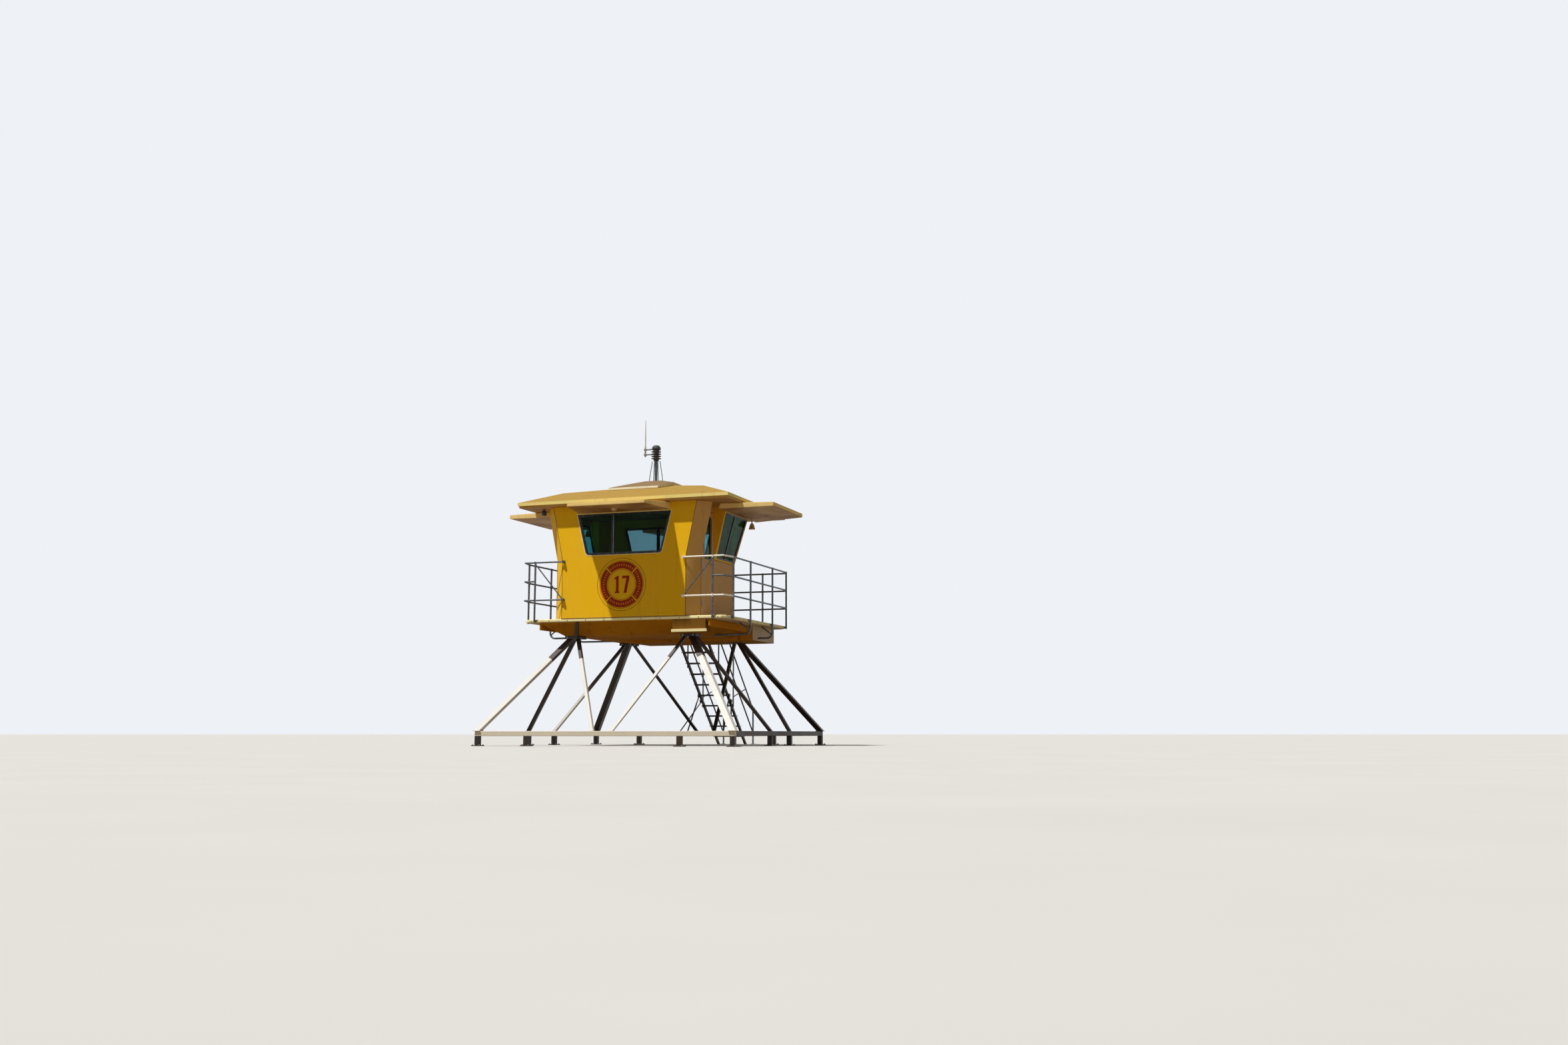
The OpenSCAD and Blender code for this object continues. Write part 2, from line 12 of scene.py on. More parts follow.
import bmesh
import bpy
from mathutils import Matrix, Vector


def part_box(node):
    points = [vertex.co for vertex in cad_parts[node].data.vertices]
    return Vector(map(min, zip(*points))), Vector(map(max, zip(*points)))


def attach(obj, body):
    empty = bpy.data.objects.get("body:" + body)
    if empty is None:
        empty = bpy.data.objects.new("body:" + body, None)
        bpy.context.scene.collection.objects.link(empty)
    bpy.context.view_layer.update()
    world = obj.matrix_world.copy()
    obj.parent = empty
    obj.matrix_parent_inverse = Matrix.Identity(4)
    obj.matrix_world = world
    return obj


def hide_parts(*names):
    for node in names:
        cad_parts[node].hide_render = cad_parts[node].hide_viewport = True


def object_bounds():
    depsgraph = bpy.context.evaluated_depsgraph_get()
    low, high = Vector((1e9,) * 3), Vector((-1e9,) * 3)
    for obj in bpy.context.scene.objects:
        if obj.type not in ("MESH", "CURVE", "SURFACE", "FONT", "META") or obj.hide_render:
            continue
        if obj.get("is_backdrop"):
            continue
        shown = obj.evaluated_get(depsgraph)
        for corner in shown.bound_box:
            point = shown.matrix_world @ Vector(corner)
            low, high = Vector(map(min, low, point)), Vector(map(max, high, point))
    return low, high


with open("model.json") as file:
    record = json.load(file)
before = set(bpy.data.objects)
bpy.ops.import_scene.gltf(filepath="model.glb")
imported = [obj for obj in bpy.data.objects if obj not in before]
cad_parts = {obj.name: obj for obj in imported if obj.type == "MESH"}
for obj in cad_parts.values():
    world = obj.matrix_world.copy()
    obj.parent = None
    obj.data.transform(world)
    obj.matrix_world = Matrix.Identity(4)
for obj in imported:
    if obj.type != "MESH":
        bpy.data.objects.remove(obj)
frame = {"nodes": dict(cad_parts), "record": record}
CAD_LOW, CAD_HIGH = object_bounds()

# %% [markdown]
# ## Places that many pieces share
# The deck is not in the middle of the tower's outline, because the stair reaches far out
# behind it. Sizes here are in metres, and Y is measured from the middle of the deck,
# so `place` moves a point into the tower's own frame.

# %% Shared places
DECK_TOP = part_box("deck_floor")[1][2]
deck_low, deck_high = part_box("deck_lip")
MID_Y = (deck_low[1] + deck_high[1]) / 2
FRONT_FACE, BACK_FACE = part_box("front_wall")[0][1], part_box("back_wall")[1][1]


def place(x, y, z):
    """A point given from the middle of the deck top."""
    return Vector((x, y + MID_Y, z + DECK_TOP))


def stand(name, data):
    """Puts a new object in the scene, at the origin."""
    thing = bpy.data.objects.new(name, data)
    bpy.context.collection.objects.link(thing)
    return thing


print("deck top", round(DECK_TOP, 3), "middle of the deck at Y", round(MID_Y, 3))

# %% [markdown]
# ## Camera
# The photograph was taken from far off and low down, to the right of the tower's front. The
# lens is given by its focal length in pixels of the full frame. The camera is lifted a little,
# so that it looks over the studio floor, and its pitch is lowered by the same angle. It could
# be placed by eye, but it was solved from the tower's own straight edges, so that every piece
# falls where the photograph has it.

# %% Camera
IMAGE_WIDTH, FOCAL_PIXELS = 2353, 2315
SENSOR, SIGHT = 36.0, 2000
CAMERA_TURN = math.radians(19.167)
CAMERA_PITCH = math.radians(7.80)
CAMERA_PLACE = (12.148, -28.462, 0.22)

camera_data = bpy.data.cameras.new("camera")
camera_data.sensor_width = SENSOR
camera_data.lens = SENSOR * FOCAL_PIXELS / IMAGE_WIDTH
camera_data.clip_end = SIGHT
camera = stand("camera", camera_data)
camera.location = CAMERA_PLACE
camera.rotation_euler = (math.pi / 2 + CAMERA_PITCH, 0, CAMERA_TURN)
bpy.context.scene.camera = camera
print("lens", round(camera_data.lens, 2), "mm")

# %% [markdown]
# ## Node helpers
# Shader and geometry trees are built in code. `add` makes one node, sets its options, and
# fills each input with a number or a link. The helpers after it name the steps that every
# finish needs: a sum, a mix of two colours, a remapped range and a noise pattern. Trees could
# also be drawn in the node editor, but code can be read, repeated and run again.

# %% Making a node


def fill(tree, node, inputs):
    """Gives a node's inputs their numbers or links."""
    for name, value in inputs.items():
        if isinstance(value, bpy.types.NodeSocket):
            tree.links.new(value, node.inputs[name])
        else:
            node.inputs[name].default_value = value


def add(tree, kind, inputs=None, **options):
    node = tree.nodes.new(kind)
    for name, value in options.items():
        setattr(node, name, value)
    fill(tree, node, inputs or {})
    return node


# %% Sums, mixes and patterns


def calc(tree, operation, a, b=0.0, clamp=False):
    made = add(tree, "ShaderNodeMath", {0: a, 1: b}, operation=operation, use_clamp=clamp)
    return made.outputs[0]


def times(tree, a, b, clamp=False):
    return calc(tree, "MULTIPLY", a, b, clamp)


def plus(tree, a, b, clamp=False):
    return calc(tree, "ADD", a, b, clamp)


def blend_colours(tree, factor, a, b):
    return add(tree, "ShaderNodeMix", {0: factor, 6: a, 7: b}, data_type="RGBA").outputs[2]


def remap(tree, value, low, high, out_low=0.0, out_high=1.0):
    ends = {"From Min": low, "From Max": high, "To Min": out_low, "To Max": out_high}
    return add(tree, "ShaderNodeMapRange", {"Value": value, **ends}).outputs[0]


def noise(tree, coords, scale, detail=4.0, stretch=None, roughness=0.55):
    if stretch:
        coords = add(tree, "ShaderNodeMapping", {"Vector": coords, "Scale": stretch}).outputs[0]
    inputs = {"Vector": coords, "Scale": scale, "Detail": detail, "Roughness": roughness}
    return add(tree, "ShaderNodeTexNoise", inputs).outputs[0]


def split(tree, vector):
    return add(tree, "ShaderNodeSeparateXYZ", {0: vector}).outputs


def object_coords(tree):
    return add(tree, "ShaderNodeTexCoord").outputs["Object"]


# %% Colours and groups
NUMBER, COLOUR = "NodeSocketFloat", "NodeSocketColor"


def srgb(red, green, blue):
    """A colour given as 0 to 255, as a linear RGBA tuple."""
    shares = (c / 255 for c in (red, green, blue))
    linear = [c / 12.92 if c <= 0.04045 else ((c + 0.055) / 1.055) ** 2.4 for c in shares]
    return (*linear, 1.0)


def new_input(tree, name, value):
    kind = COLOUR if isinstance(value, tuple) else NUMBER
    tree.interface.new_socket(name, in_out="INPUT", socket_type=kind).default_value = value


def new_group(name, inputs, outputs):
    """A shader group. inputs gives the usual value of each input, outputs each output's kind."""
    tree = bpy.data.node_groups.new(name, "ShaderNodeTree")
    for socket, value in inputs.items():
        new_input(tree, socket, value)
    for socket, kind in outputs.items():
        tree.interface.new_socket(socket, in_out="OUTPUT", socket_type=kind)
    return tree, add(tree, "NodeGroupInput").outputs, add(tree, "NodeGroupOutput")


# %% [markdown]
# ## Weathered gelcoat
# Gelcoat is the pigmented skin of a fibreglass moulding. Years of sun turn it chalky and pale,
# most of all where it faces up, rain draws dirt down it in streaks, and undersides gather
# rust-brown stains. The group mixes three colours by those causes, so each moulding only
# states how much it has had of each. A painted texture would need each moulding unwrapped.
# Patterns that follow the place and the way a face looks fit every shape as they are.

# %% Gelcoat group
gelcoat, entry, leave = new_group(
    "gelcoat_age",
    {"Colour": srgb(232, 176, 40), "Chalk": srgb(240, 210, 140), "Stain": srgb(120, 80, 40),
     "Chalking": 0.5, "Streaks": 0.4, "Underside": 0.5, "Roughness": 0.54},
    {"Colour": COLOUR, "Roughness": NUMBER, "Height": NUMBER},
)
tree = gelcoat
at = object_coords(tree)
facing = split(tree, add(tree, "ShaderNodeNewGeometry").outputs["Normal"])[2]
clouds = noise(tree, at, 1.1, 6.0)
mottle = noise(tree, at, 9.0, 8.0, roughness=0.65)
upward = remap(tree, facing, 0.05, 0.9)
patches = plus(tree, times(tree, clouds, 0.65), times(tree, mottle, 0.35))
patches = remap(tree, patches, 0.42, 0.64)
chalk = plus(tree, times(tree, patches, 0.35), upward)
chalk = times(tree, chalk, entry["Chalking"], True)
colour = blend_colours(tree, chalk, entry["Colour"], entry["Chalk"])
runs = noise(tree, at, 7.0, 5.0, (1.0, 1.0, 0.06), 0.7)
runs = remap(tree, runs, 0.53, 0.74)
runs = times(tree, runs, remap(tree, noise(tree, at, 1.7, 3.0), 0.35, 0.65))
runs = times(tree, runs, entry["Streaks"], True)
colour = blend_colours(tree, runs, colour, entry["Stain"])
below = remap(tree, facing, -0.15, -0.8)
below = times(tree, below, remap(tree, clouds, 0.25, 0.6, 0.45, 1.0))
below = times(tree, below, entry["Underside"], True)
colour = blend_colours(tree, below, colour, entry["Stain"])
specks = remap(tree, noise(tree, at, 130.0, 2.0), 0.60, 0.72, 0.0, 0.35)
specks = times(tree, specks, entry["Streaks"])
colour = blend_colours(tree, specks, colour, entry["Stain"])
rough = plus(tree, entry["Roughness"], times(tree, chalk, 0.28))
rough = plus(tree, rough, times(tree, calc(tree, "SUBTRACT", mottle, 0.5), 0.25), True)
waves = noise(tree, at, 2.6, 2.0)
peel = times(tree, noise(tree, at, 75.0, 2.0), 0.035)
fill(tree, leave, {"Colour": colour, "Roughness": rough, "Height": plus(tree, waves, peel)})
print("gelcoat group nodes:", len(gelcoat.nodes))

# %% [markdown]
# ## Edge wear
# Paint goes first from the corners of a steel tube. A Bevel node gives a rounded normal near
# an edge, and where that differs from the true normal there is an edge. Noise breaks the mask
# up. It could be painted on by hand, but a mask that comes from the shape finds every edge by
# itself.

# %% Edge wear group
sizes = {"Radius": 0.012, "Amount": 0.6, "Spots": 0.3}
edge_wear, entry, leave = new_group("edge_wear", sizes, {"Mask": NUMBER, "Grime": NUMBER})
tree = edge_wear
at = object_coords(tree)
rounded = add(tree, "ShaderNodeBevel", {"Radius": entry["Radius"]}, samples=4).outputs[0]
flat = add(tree, "ShaderNodeNewGeometry").outputs["True Normal"]
likeness = add(tree, "ShaderNodeVectorMath", {0: rounded, 1: flat}, operation="DOT_PRODUCT")
edge = remap(tree, likeness.outputs["Value"], 0.995, 0.80)
chips = remap(tree, noise(tree, at, 22.0, 6.0, roughness=0.7), 0.44, 0.58)
edge = times(tree, times(tree, edge, chips), entry["Amount"], True)
spots = remap(tree, noise(tree, at, 14.0, 8.0, roughness=0.75), 0.60, 0.68)
spots = times(tree, spots, entry["Spots"], True)
grime = remap(tree, noise(tree, at, 3.0, 6.0, (1.0, 1.0, 0.35), 0.65), 0.38, 0.70)
fill(tree, leave, {"Mask": calc(tree, "MAXIMUM", edge, spots), "Grime": grime})
print("edge wear group nodes:", len(edge_wear.nodes))

# %% [markdown]
# ## Materials
# Each material keeps its Principled shader to itself and takes its colour, roughness and
# height from the groups. Bump distances stay small, because mouldings and tubes are smooth.
# Old gelcoat has lost its gloss, so its shine is low.

# %% New materials


def new_material(name):
    material = bpy.data.materials.new(name)
    material.use_nodes = True
    tree = material.node_tree
    return material, tree, tree.nodes["Principled BSDF"]


def bump(tree, shader, height, distance):
    made = add(tree, "ShaderNodeBump", {"Height": height, "Distance": distance})
    tree.links.new(made.outputs[0], shader.inputs["Normal"])


# %% A finish for mouldings
COAT_SHARE, COAT_ROUGHNESS = 0.2, 0.35


def gelcoat_material(name, colours, levels, roughness=0.54, shine=0.10):
    """colours are the paint, chalk and stain, levels the chalking, streaks and underside."""
    material, tree, shader = new_material(name)
    group = add(tree, "ShaderNodeGroup", node_tree=gelcoat)
    values = [srgb(*colour) for colour in colours] + [*levels, roughness]
    for socket, value in zip(group.inputs, values):
        socket.default_value = value
    aged = {"Base Color": group.outputs["Colour"], "Roughness": group.outputs["Roughness"]}
    coat = {"Coat Weight": shine * COAT_SHARE, "Coat Roughness": COAT_ROUGHNESS}
    fill(tree, shader, {**aged, **coat, "Specular IOR Level": shine})
    bump(tree, shader, group.outputs["Height"], 0.004)
    return material


# %% A finish for painted tube


def painted_steel(name, paint, under, wear, spots, lower=None):
    """Worn paint. lower is (second colour, its under-colour, function that gives its mask).
    On the legs that mask is the sunlit part, and the first colour above it is painted shade.
    """
    material, tree, shader = new_material(name)
    at = object_coords(tree)
    worn = add(tree, "ShaderNodeGroup", {"Amount": wear, "Spots": spots}, node_tree=edge_wear)
    bare, grime = worn.outputs["Mask"], worn.outputs["Grime"]
    base = paint
    if lower:
        second, second_under, mask_of = lower
        mask = mask_of(tree, at)
        base = blend_colours(tree, mask, paint, second)
        under = blend_colours(tree, mask, under, second_under)
    base = blend_colours(tree, times(tree, grime, 0.35), base, under)
    base = blend_colours(tree, bare, base, under)
    rough = plus(tree, 0.42, times(tree, bare, 0.4))
    rough = plus(tree, rough, times(tree, grime, 0.12))
    fill(tree, shader, {"Base Color": base, "Roughness": rough, "Specular IOR Level": 0.3})
    height = calc(tree, "SUBTRACT", noise(tree, at, 160.0, 2.0), times(tree, bare, 1.5))
    bump(tree, shader, height, 0.0006)
    return material


# %% Gelcoat materials
STAIN = (140, 92, 44)
AGES = {
    "wall": [((255, 202, 26), (250, 218, 122), STAIN), (0.2, 0.26, 0.35)],
    # tan is painted shade: the right-hand side is the same yellow gelcoat, written tan for its
    # shade.
    "tan": [((220, 174, 104), (236, 206, 156), (126, 84, 44)), (0.4, 0.6, 0.4)],
    # The box end is paler than the hull to stand for light bounced onto it: painted light.
    "box_end_bounce_lit": [((200, 182, 156), (214, 200, 176), (120, 92, 60)), (0.4, 0.7, 0.4)],
    "roof": [((238, 202, 92), (168, 136, 66), STAIN), (1.0, 0.7, 0.5)],
    "fascia": [((255, 238, 150), (248, 216, 140), STAIN), (0.5, 0.4, 0.5)],
    "cap": [((255, 246, 214), (136, 112, 78), (84, 66, 46)), (1.0, 0.7, 0.6)],
    "strip": [((255, 250, 222), (250, 238, 204), STAIN), (0.3, 0.2, 0.5)],
    "visor": [((255, 226, 150), (190, 152, 84), (146, 102, 58)), (0.9, 0.5, 1.0)],
    # hull: darker and more orange than the walls, partly painted shade under the lip, partly
    # stains.
    "hull": [((198, 134, 26), (184, 134, 50), (100, 54, 16)), (0.25, 0.8, 0.4), 0.8, 0.02],
    # ledge: its body is darkened to stand for the lip's shadow: painted shadow.
    "ledge": [((126, 88, 34), (144, 108, 60), (84, 56, 26)), (0.3, 0.6, 0.4), 0.8, 0.02],
    "lip": [((255, 246, 190), (252, 234, 178), STAIN), (0.6, 0.4, 0.5)],
    "soffit": [((222, 176, 92), (225, 195, 140), (146, 104, 62)), (0.5, 0.6, 0.8), 0.55],
}
gelcoats = {name: gelcoat_material("gelcoat_" + name, *row) for name, row in AGES.items()}
print("gelcoat materials:", list(gelcoats))

# %% [markdown]
# ## Where the painted shadow on the legs ends
# The legs are white paint. The deck's shadow across the front legs is painted into their finish:
# black above a line, as painted shade, and white below. The line runs square across each leaning
# tube. A plane square to the tube gives it: a point is in the sunlit white part where its distance
# along the plane's normal is less than a limit. On the legs of the left side the painted shadow
# ends at one height, and only on those behind the middle. Each leg could be cut in two there, but
# a mask keeps it one piece, as the real tube is.

# %% Masks for the legs
# The height and the two planes below mark where the deck's painted shadow ends on the legs.
CORNER_FROM, SIDE_SHADOW_EDGE = 1.15, 1.05
THICK_SHADOW_EDGE, THIN_SHADOW_EDGE = ((-0.516, 0.488, 0.702), -0.415), ((0.396, 0.519, 0.758), 0.764)


def under_plane(tree, parts, normal, limit):
    """Mask of the points below a plane, mirrored across the middle of the tower."""
    across = times(tree, calc(tree, "ABSOLUTE", parts[0]), normal[0])
    along = times(tree, calc(tree, "SUBTRACT", parts[1], MID_Y), normal[1])
    distance = plus(tree, plus(tree, across, along), times(tree, parts[2], normal[2]))
    return calc(tree, "LESS_THAN", distance, limit)


def front_leg_sunlit_mask(tree, at):
    parts = split(tree, at)
    corner = calc(tree, "GREATER_THAN", calc(tree, "ABSOLUTE", parts[0]), CORNER_FROM)
    thick = times(tree, under_plane(tree, parts, *THICK_SHADOW_EDGE), corner)
    thin = under_plane(tree, parts, *THIN_SHADOW_EDGE)
    return calc(tree, "MAXIMUM", thick, times(tree, thin, calc(tree, "SUBTRACT", 1.0, corner)))


def left_leg_sunlit_mask(tree, at):
    parts = split(tree, at)
    low = calc(tree, "LESS_THAN", parts[2], SIDE_SHADOW_EDGE)
    return times(tree, low, calc(tree, "GREATER_THAN", parts[1], MID_Y))


# %% Steel materials
# On the legs and on the back, left and right base beams, which are white-painted tube, this black
# is painted shade; on the other parts it is black paint.
BLACK_PAINT_AND_SHADE, RUST = srgb(40, 36, 31), srgb(98, 60, 38)
WHITE, PRIMER = srgb(218, 218, 214), srgb(204, 201, 194)
black_and_shade_steel = painted_steel("steel_black", BLACK_PAINT_AND_SHADE, RUST, 0.75, 0.25)
white_steel = painted_steel("steel_white", srgb(230, 222, 202), PRIMER, 0.8, 0.30)
# On the front and left legs the black is painted shade, and the masks give the sunlit white.
front_leg_shadow_steel, left_leg_shadow_steel = (
    painted_steel(name, BLACK_PAINT_AND_SHADE, RUST, 0.7, 0.2, (WHITE, PRIMER, mask_of))
    for name, mask_of in (("steel_front_legs_shadow", front_leg_sunlit_mask), ("steel_left_legs_shadow", left_leg_sunlit_mask)))
print("side legs change at", SIDE_SHADOW_EDGE, "m; materials:", len(bpy.data.materials))

# %% [markdown]
# ## Galvanised pipe
# Hot-dip zinc freezes in flat crystals, the spangle. A Voronoi cell pattern gives each crystal
# its own grey and its own roughness, and salt air adds soft white bloom. Noise alone could
# give the greys, but not the crystals' sharp borders.

# %% Galvanised steel
galvanised, tree, shader = new_material("galvanised")
at = object_coords(tree)
cells = add(tree, "ShaderNodeTexVoronoi", {"Vector": at, "Scale": 55.0}).outputs["Color"]
grey = add(tree, "ShaderNodeSeparateColor", {0: cells}).outputs[0]
bloom = remap(tree, noise(tree, at, 6.0, 8.0, roughness=0.7), 0.50, 0.68)
zinc = blend_colours(tree, grey, srgb(64, 68, 72), srgb(98, 102, 106))
zinc = blend_colours(tree, times(tree, bloom, 0.45), zinc, srgb(140, 141, 138))
rusty = remap(tree, noise(tree, at, 11.0, 8.0, (1.0, 1.0, 0.4), 0.75), 0.66, 0.76)
zinc = blend_colours(tree, times(tree, rusty, 0.6), zinc, RUST)
rough = plus(tree, remap(tree, grey, 0.0, 1.0, 0.34, 0.50), times(tree, bloom, 0.2))
fill(tree, shader, {"Base Color": zinc, "Metallic": 0.7, "Roughness": rough})
bump(tree, shader, plus(tree, grey, noise(tree, at, 90.0, 2.0)), 0.0003)
print("galvanised nodes:", len(tree.nodes))

# %% [markdown]
# ## Deck, glass and small parts
# The deck is gelcoat with grit rolled into it, worn pale along the walkways. The windows are
# tinted glass with a thin film of salt, palest in the back window. The tint changes by
# place, because one CAD node holds all the panes. Rubber, plastic and printed marks are plainer.

# %% Deck grit
deck_grit, tree, shader = new_material("deck_grit")
at = object_coords(tree)
grains = add(tree, "ShaderNodeTexVoronoi", {"Vector": at, "Scale": 190.0}).outputs["Distance"]
trodden = remap(tree, noise(tree, at, 1.6, 7.0, roughness=0.65), 0.38, 0.64)
grit = blend_colours(tree, trodden, srgb(178, 150, 104), srgb(216, 196, 156))
grit = blend_colours(tree, remap(tree, grains, 0.0, 0.6, 0.35, 0.0), grit, srgb(96, 78, 54))
fill(tree, shader, {"Base Color": grit, "Roughness": 0.85})
bump(tree, shader, grains, 0.0022)
print("deck grit nodes:", len(tree.nodes))

# %% Glass
FRONT_TINT, BACK_TINT = (0.15, 0.31, 0.34, 1), (0.48, 0.58, 0.64, 1)
BAY_TINT = (0.10, 0.42, 0.46, 1)
BACK_FROM, BAY_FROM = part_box("back_wall")[0][1] - 0.02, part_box("right_wall")[0][0]
tinted_glass, tree, shader = new_material("tinted_glass")
at = object_coords(tree)
film = remap(tree, noise(tree, at, 5.0, 7.0, (1.0, 1.0, 0.5), 0.7), 0.45, 0.75, 0.01, 0.07)
parts = split(tree, at)
at_back = calc(tree, "GREATER_THAN", parts[1], BACK_FROM)
in_bay = calc(tree, "GREATER_THAN", calc(tree, "ABSOLUTE", parts[0]), BAY_FROM)
tint = blend_colours(tree, at_back, FRONT_TINT, BACK_TINT)
tint = blend_colours(tree, in_bay, tint, BAY_TINT)
fill(tree, shader, {"Base Color": tint, "Roughness": film, "Transmission Weight": 1.0,
                    "IOR": 1.12, "Specular IOR Level": 0.25})
print("back pane from Y", round(BACK_FROM, 3), "bay panes from X", round(BAY_FROM, 3))

# %% Plain small materials


def small_material(name, colour, other, scale, roughness, metal=0.0, shine=0.5):
    material, tree, shader = new_material(name)
    at = object_coords(tree)
    pattern = noise(tree, at, scale, 6.0, roughness=0.65)
    mixed = blend_colours(tree, remap(tree, pattern, 0.40, 0.66), srgb(*colour), srgb(*other))
    rough = remap(tree, pattern, 0.3, 0.7, roughness - 0.08, roughness + 0.12)
    fill(tree, shader, {"Base Color": mixed, "Roughness": rough, "Metallic": metal,
                        "Specular IOR Level": shine})
    bump(tree, shader, noise(tree, at, 120.0, 3.0), 0.0003)
    return material


frame_black = small_material("frame_anodised", (26, 27, 28), (44, 45, 46), 20.0, 0.34, 0.6)
rubber = small_material("gasket_rubber", (22, 22, 22), (40, 38, 36), 30.0, 0.70)
sealant = small_material("sealant", (132, 92, 34), (84, 58, 24), 12.0, 0.7)
dark_plastic = small_material("dark_plastic", (34, 34, 36), (62, 60, 58), 12.0, 0.55)
bolt_steel = small_material("bolt_zinc", (150, 150, 148), (112, 96, 80), 60.0, 0.42, 0.9)
whip_white = small_material("whip_white", (226, 224, 216), (196, 190, 178), 14.0, 0.45)
mark_red = small_material("mark_red", (158, 34, 18), (184, 74, 28), 26.0, 0.5, shine=0.1)
mark_dark = small_material("mark_dark", (104, 54, 12), (158, 98, 26), 26.0, 0.5, shine=0.1)
mark_pale = small_material("mark_pale", (232, 182, 70), (210, 140, 50), 26.0, 0.5, shine=0.1)
lamp_tan = small_material("lamp_cover", (214, 178, 130), (180, 140, 96), 16.0, 0.5)
print("materials:", len(bpy.data.materials))

# %% [markdown]
# ## Soft edges for mouldings and tubes
# A CAD solid has sharp edges, and nothing moulded or rolled has. The node's own mesh is loose
# triangles and stays as it is. A copy is merged, its flat faces are joined up, and a Bevel
# modifier rounds what is left. The copy then stands for the node. A moulding in two colours
# has one node, so the place of each face chooses its finish. A rounded normal in the finish
# could fake this, but real rounding also shows along the outline.

# %% A softened copy
MERGE, FLAT, SHARP = 5e-5, math.radians(0.6), math.radians(20)


def piece_of(name, mesh, body="tower"):
    """A mesh as a piece that rides on a body."""
    piece = stand(name, mesh)
    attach(piece, body)
    return piece


def softened(node, width, material, body="tower", second=None):
    """A smooth copy of a node. second is (material, test of a face's middle) for other faces."""
    mesh = frame["nodes"][node].data.copy()
    mesh.name = node + "_form"
    shape = bmesh.new()
    shape.from_mesh(mesh)
    bmesh.ops.remove_doubles(shape, verts=shape.verts, dist=MERGE)
    bmesh.ops.dissolve_degenerate(shape, edges=shape.edges, dist=MERGE)
    bmesh.ops.dissolve_limit(shape, angle_limit=FLAT, verts=shape.verts, edges=shape.edges)
    mesh.materials.clear()
    mesh.materials.append(material)
    if second:
        mesh.materials.append(second[0])
        for face in shape.faces:
            face.material_index = int(second[1](face.calc_center_median()))
    shape.to_mesh(mesh)
    shape.free()
    piece = piece_of(node + "_form", mesh, body)
    rounding = piece.modifiers.new("rounding", "BEVEL")
    rounding.width = width
    rounding.segments = 3
    rounding.limit_method = "ANGLE"
    rounding.angle_limit = SHARP
    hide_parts(node)
    return piece


# %% Which nodes are softened, and how much
SOFT = {
    gelcoats["wall"]: {"front_wall": 0.006, "back_wall": 0.006, "left_wall": 0.006,
                       "corner_panels": 0.008, "left_bay": 0.008, "right_bay": 0.008},
    # The right-hand wall and door frame take the tan as painted shade.
    gelcoats["tan"]: {"right_wall": 0.006, "door_frame": 0.004},
    gelcoats["roof"]: {"roof": 0.016},
    gelcoats["cap"]: {"roof_cap": 0.012},
    gelcoats["visor"]: {"visor_front": 0.016, "visor_back": 0.016, "visor_left": 0.016,
                        "visor_right": 0.016},
    # The hull and the ledge carry painted shade in their colours.
    gelcoats["hull"]: {"deck_hull": 0.02, "keel_box": 0.012},
    gelcoats["ledge"]: {"front_ledge": 0.008},
    gelcoats["lip"]: {"deck_lip": 0.016},
    gelcoats["soffit"]: {"roof_soffit": 0.01},
    # Black on the back and right legs and the back, left and right base beams is painted shade.
    black_and_shade_steel: {"base_beam_back": 0.008, "base_beam_left": 0.008, "base_beam_right": 0.008,
                  "back_legs": 0.008, "right_legs": 0.008, "leg_heads": 0.006, "feet": 0.004,
                  "stair_stringers": 0.003, "stair_treads": 0.004},
    white_steel: {"base_beam_front": 0.008},
    # The front and left legs carry the painted shadow of the deck.
    front_leg_shadow_steel: {"front_legs": 0.008},
    left_leg_shadow_steel: {"left_legs": 0.008},
}
print("softened nodes:", sum(len(nodes) for nodes in SOFT.values()) + 1)

# %% Mouldings in two colours
LEDGE_STRIP = MID_Y - 1.651
KEEL_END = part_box("keel_box")[1][0] - 0.01
FASCIA_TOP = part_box("roof")[0][2] + 0.07
cap_low, cap_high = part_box("roof_cap")
CAP_ENDS = cap_low[1] + 0.02, cap_high[1] - 0.02
SECOND = {
    # Corner panel faces on the right-hand side take the tan as painted shade.
    "corner_panels": (gelcoats["tan"], lambda middle: middle.x > 0),
    "roof_cap": (gelcoats["strip"], lambda middle: not CAP_ENDS[0] < middle.y < CAP_ENDS[1]),
    "roof": (gelcoats["fascia"], lambda middle: middle.z < FASCIA_TOP),
    "front_ledge": (gelcoats["lip"], lambda middle: middle.y < LEDGE_STRIP),
    # The end of the keel box takes the paler painted bounce light.
    "keel_box": (gelcoats["box_end_bounce_lit"], lambda middle: middle.x > KEEL_END),
}
for finish, nodes in SOFT.items():
    for node, width in nodes.items():
        softened(node, width, finish, second=SECOND.get(node))
# The door is on the right-hand side, so it takes the tan as painted shade.
softened("door", 0.004, gelcoats["tan"], "door")
print("in two colours:", list(SECOND))

# %% [markdown]
# ## Finishes for the parts that stay
# Pipes, glass and frames have the right shape already, so they keep their CAD mesh and only
# get a finish. Two rails of the railing at the front right still have pale paint on their
# zinc. Their finish is a copy of the zinc with a mask at each of the two heights.

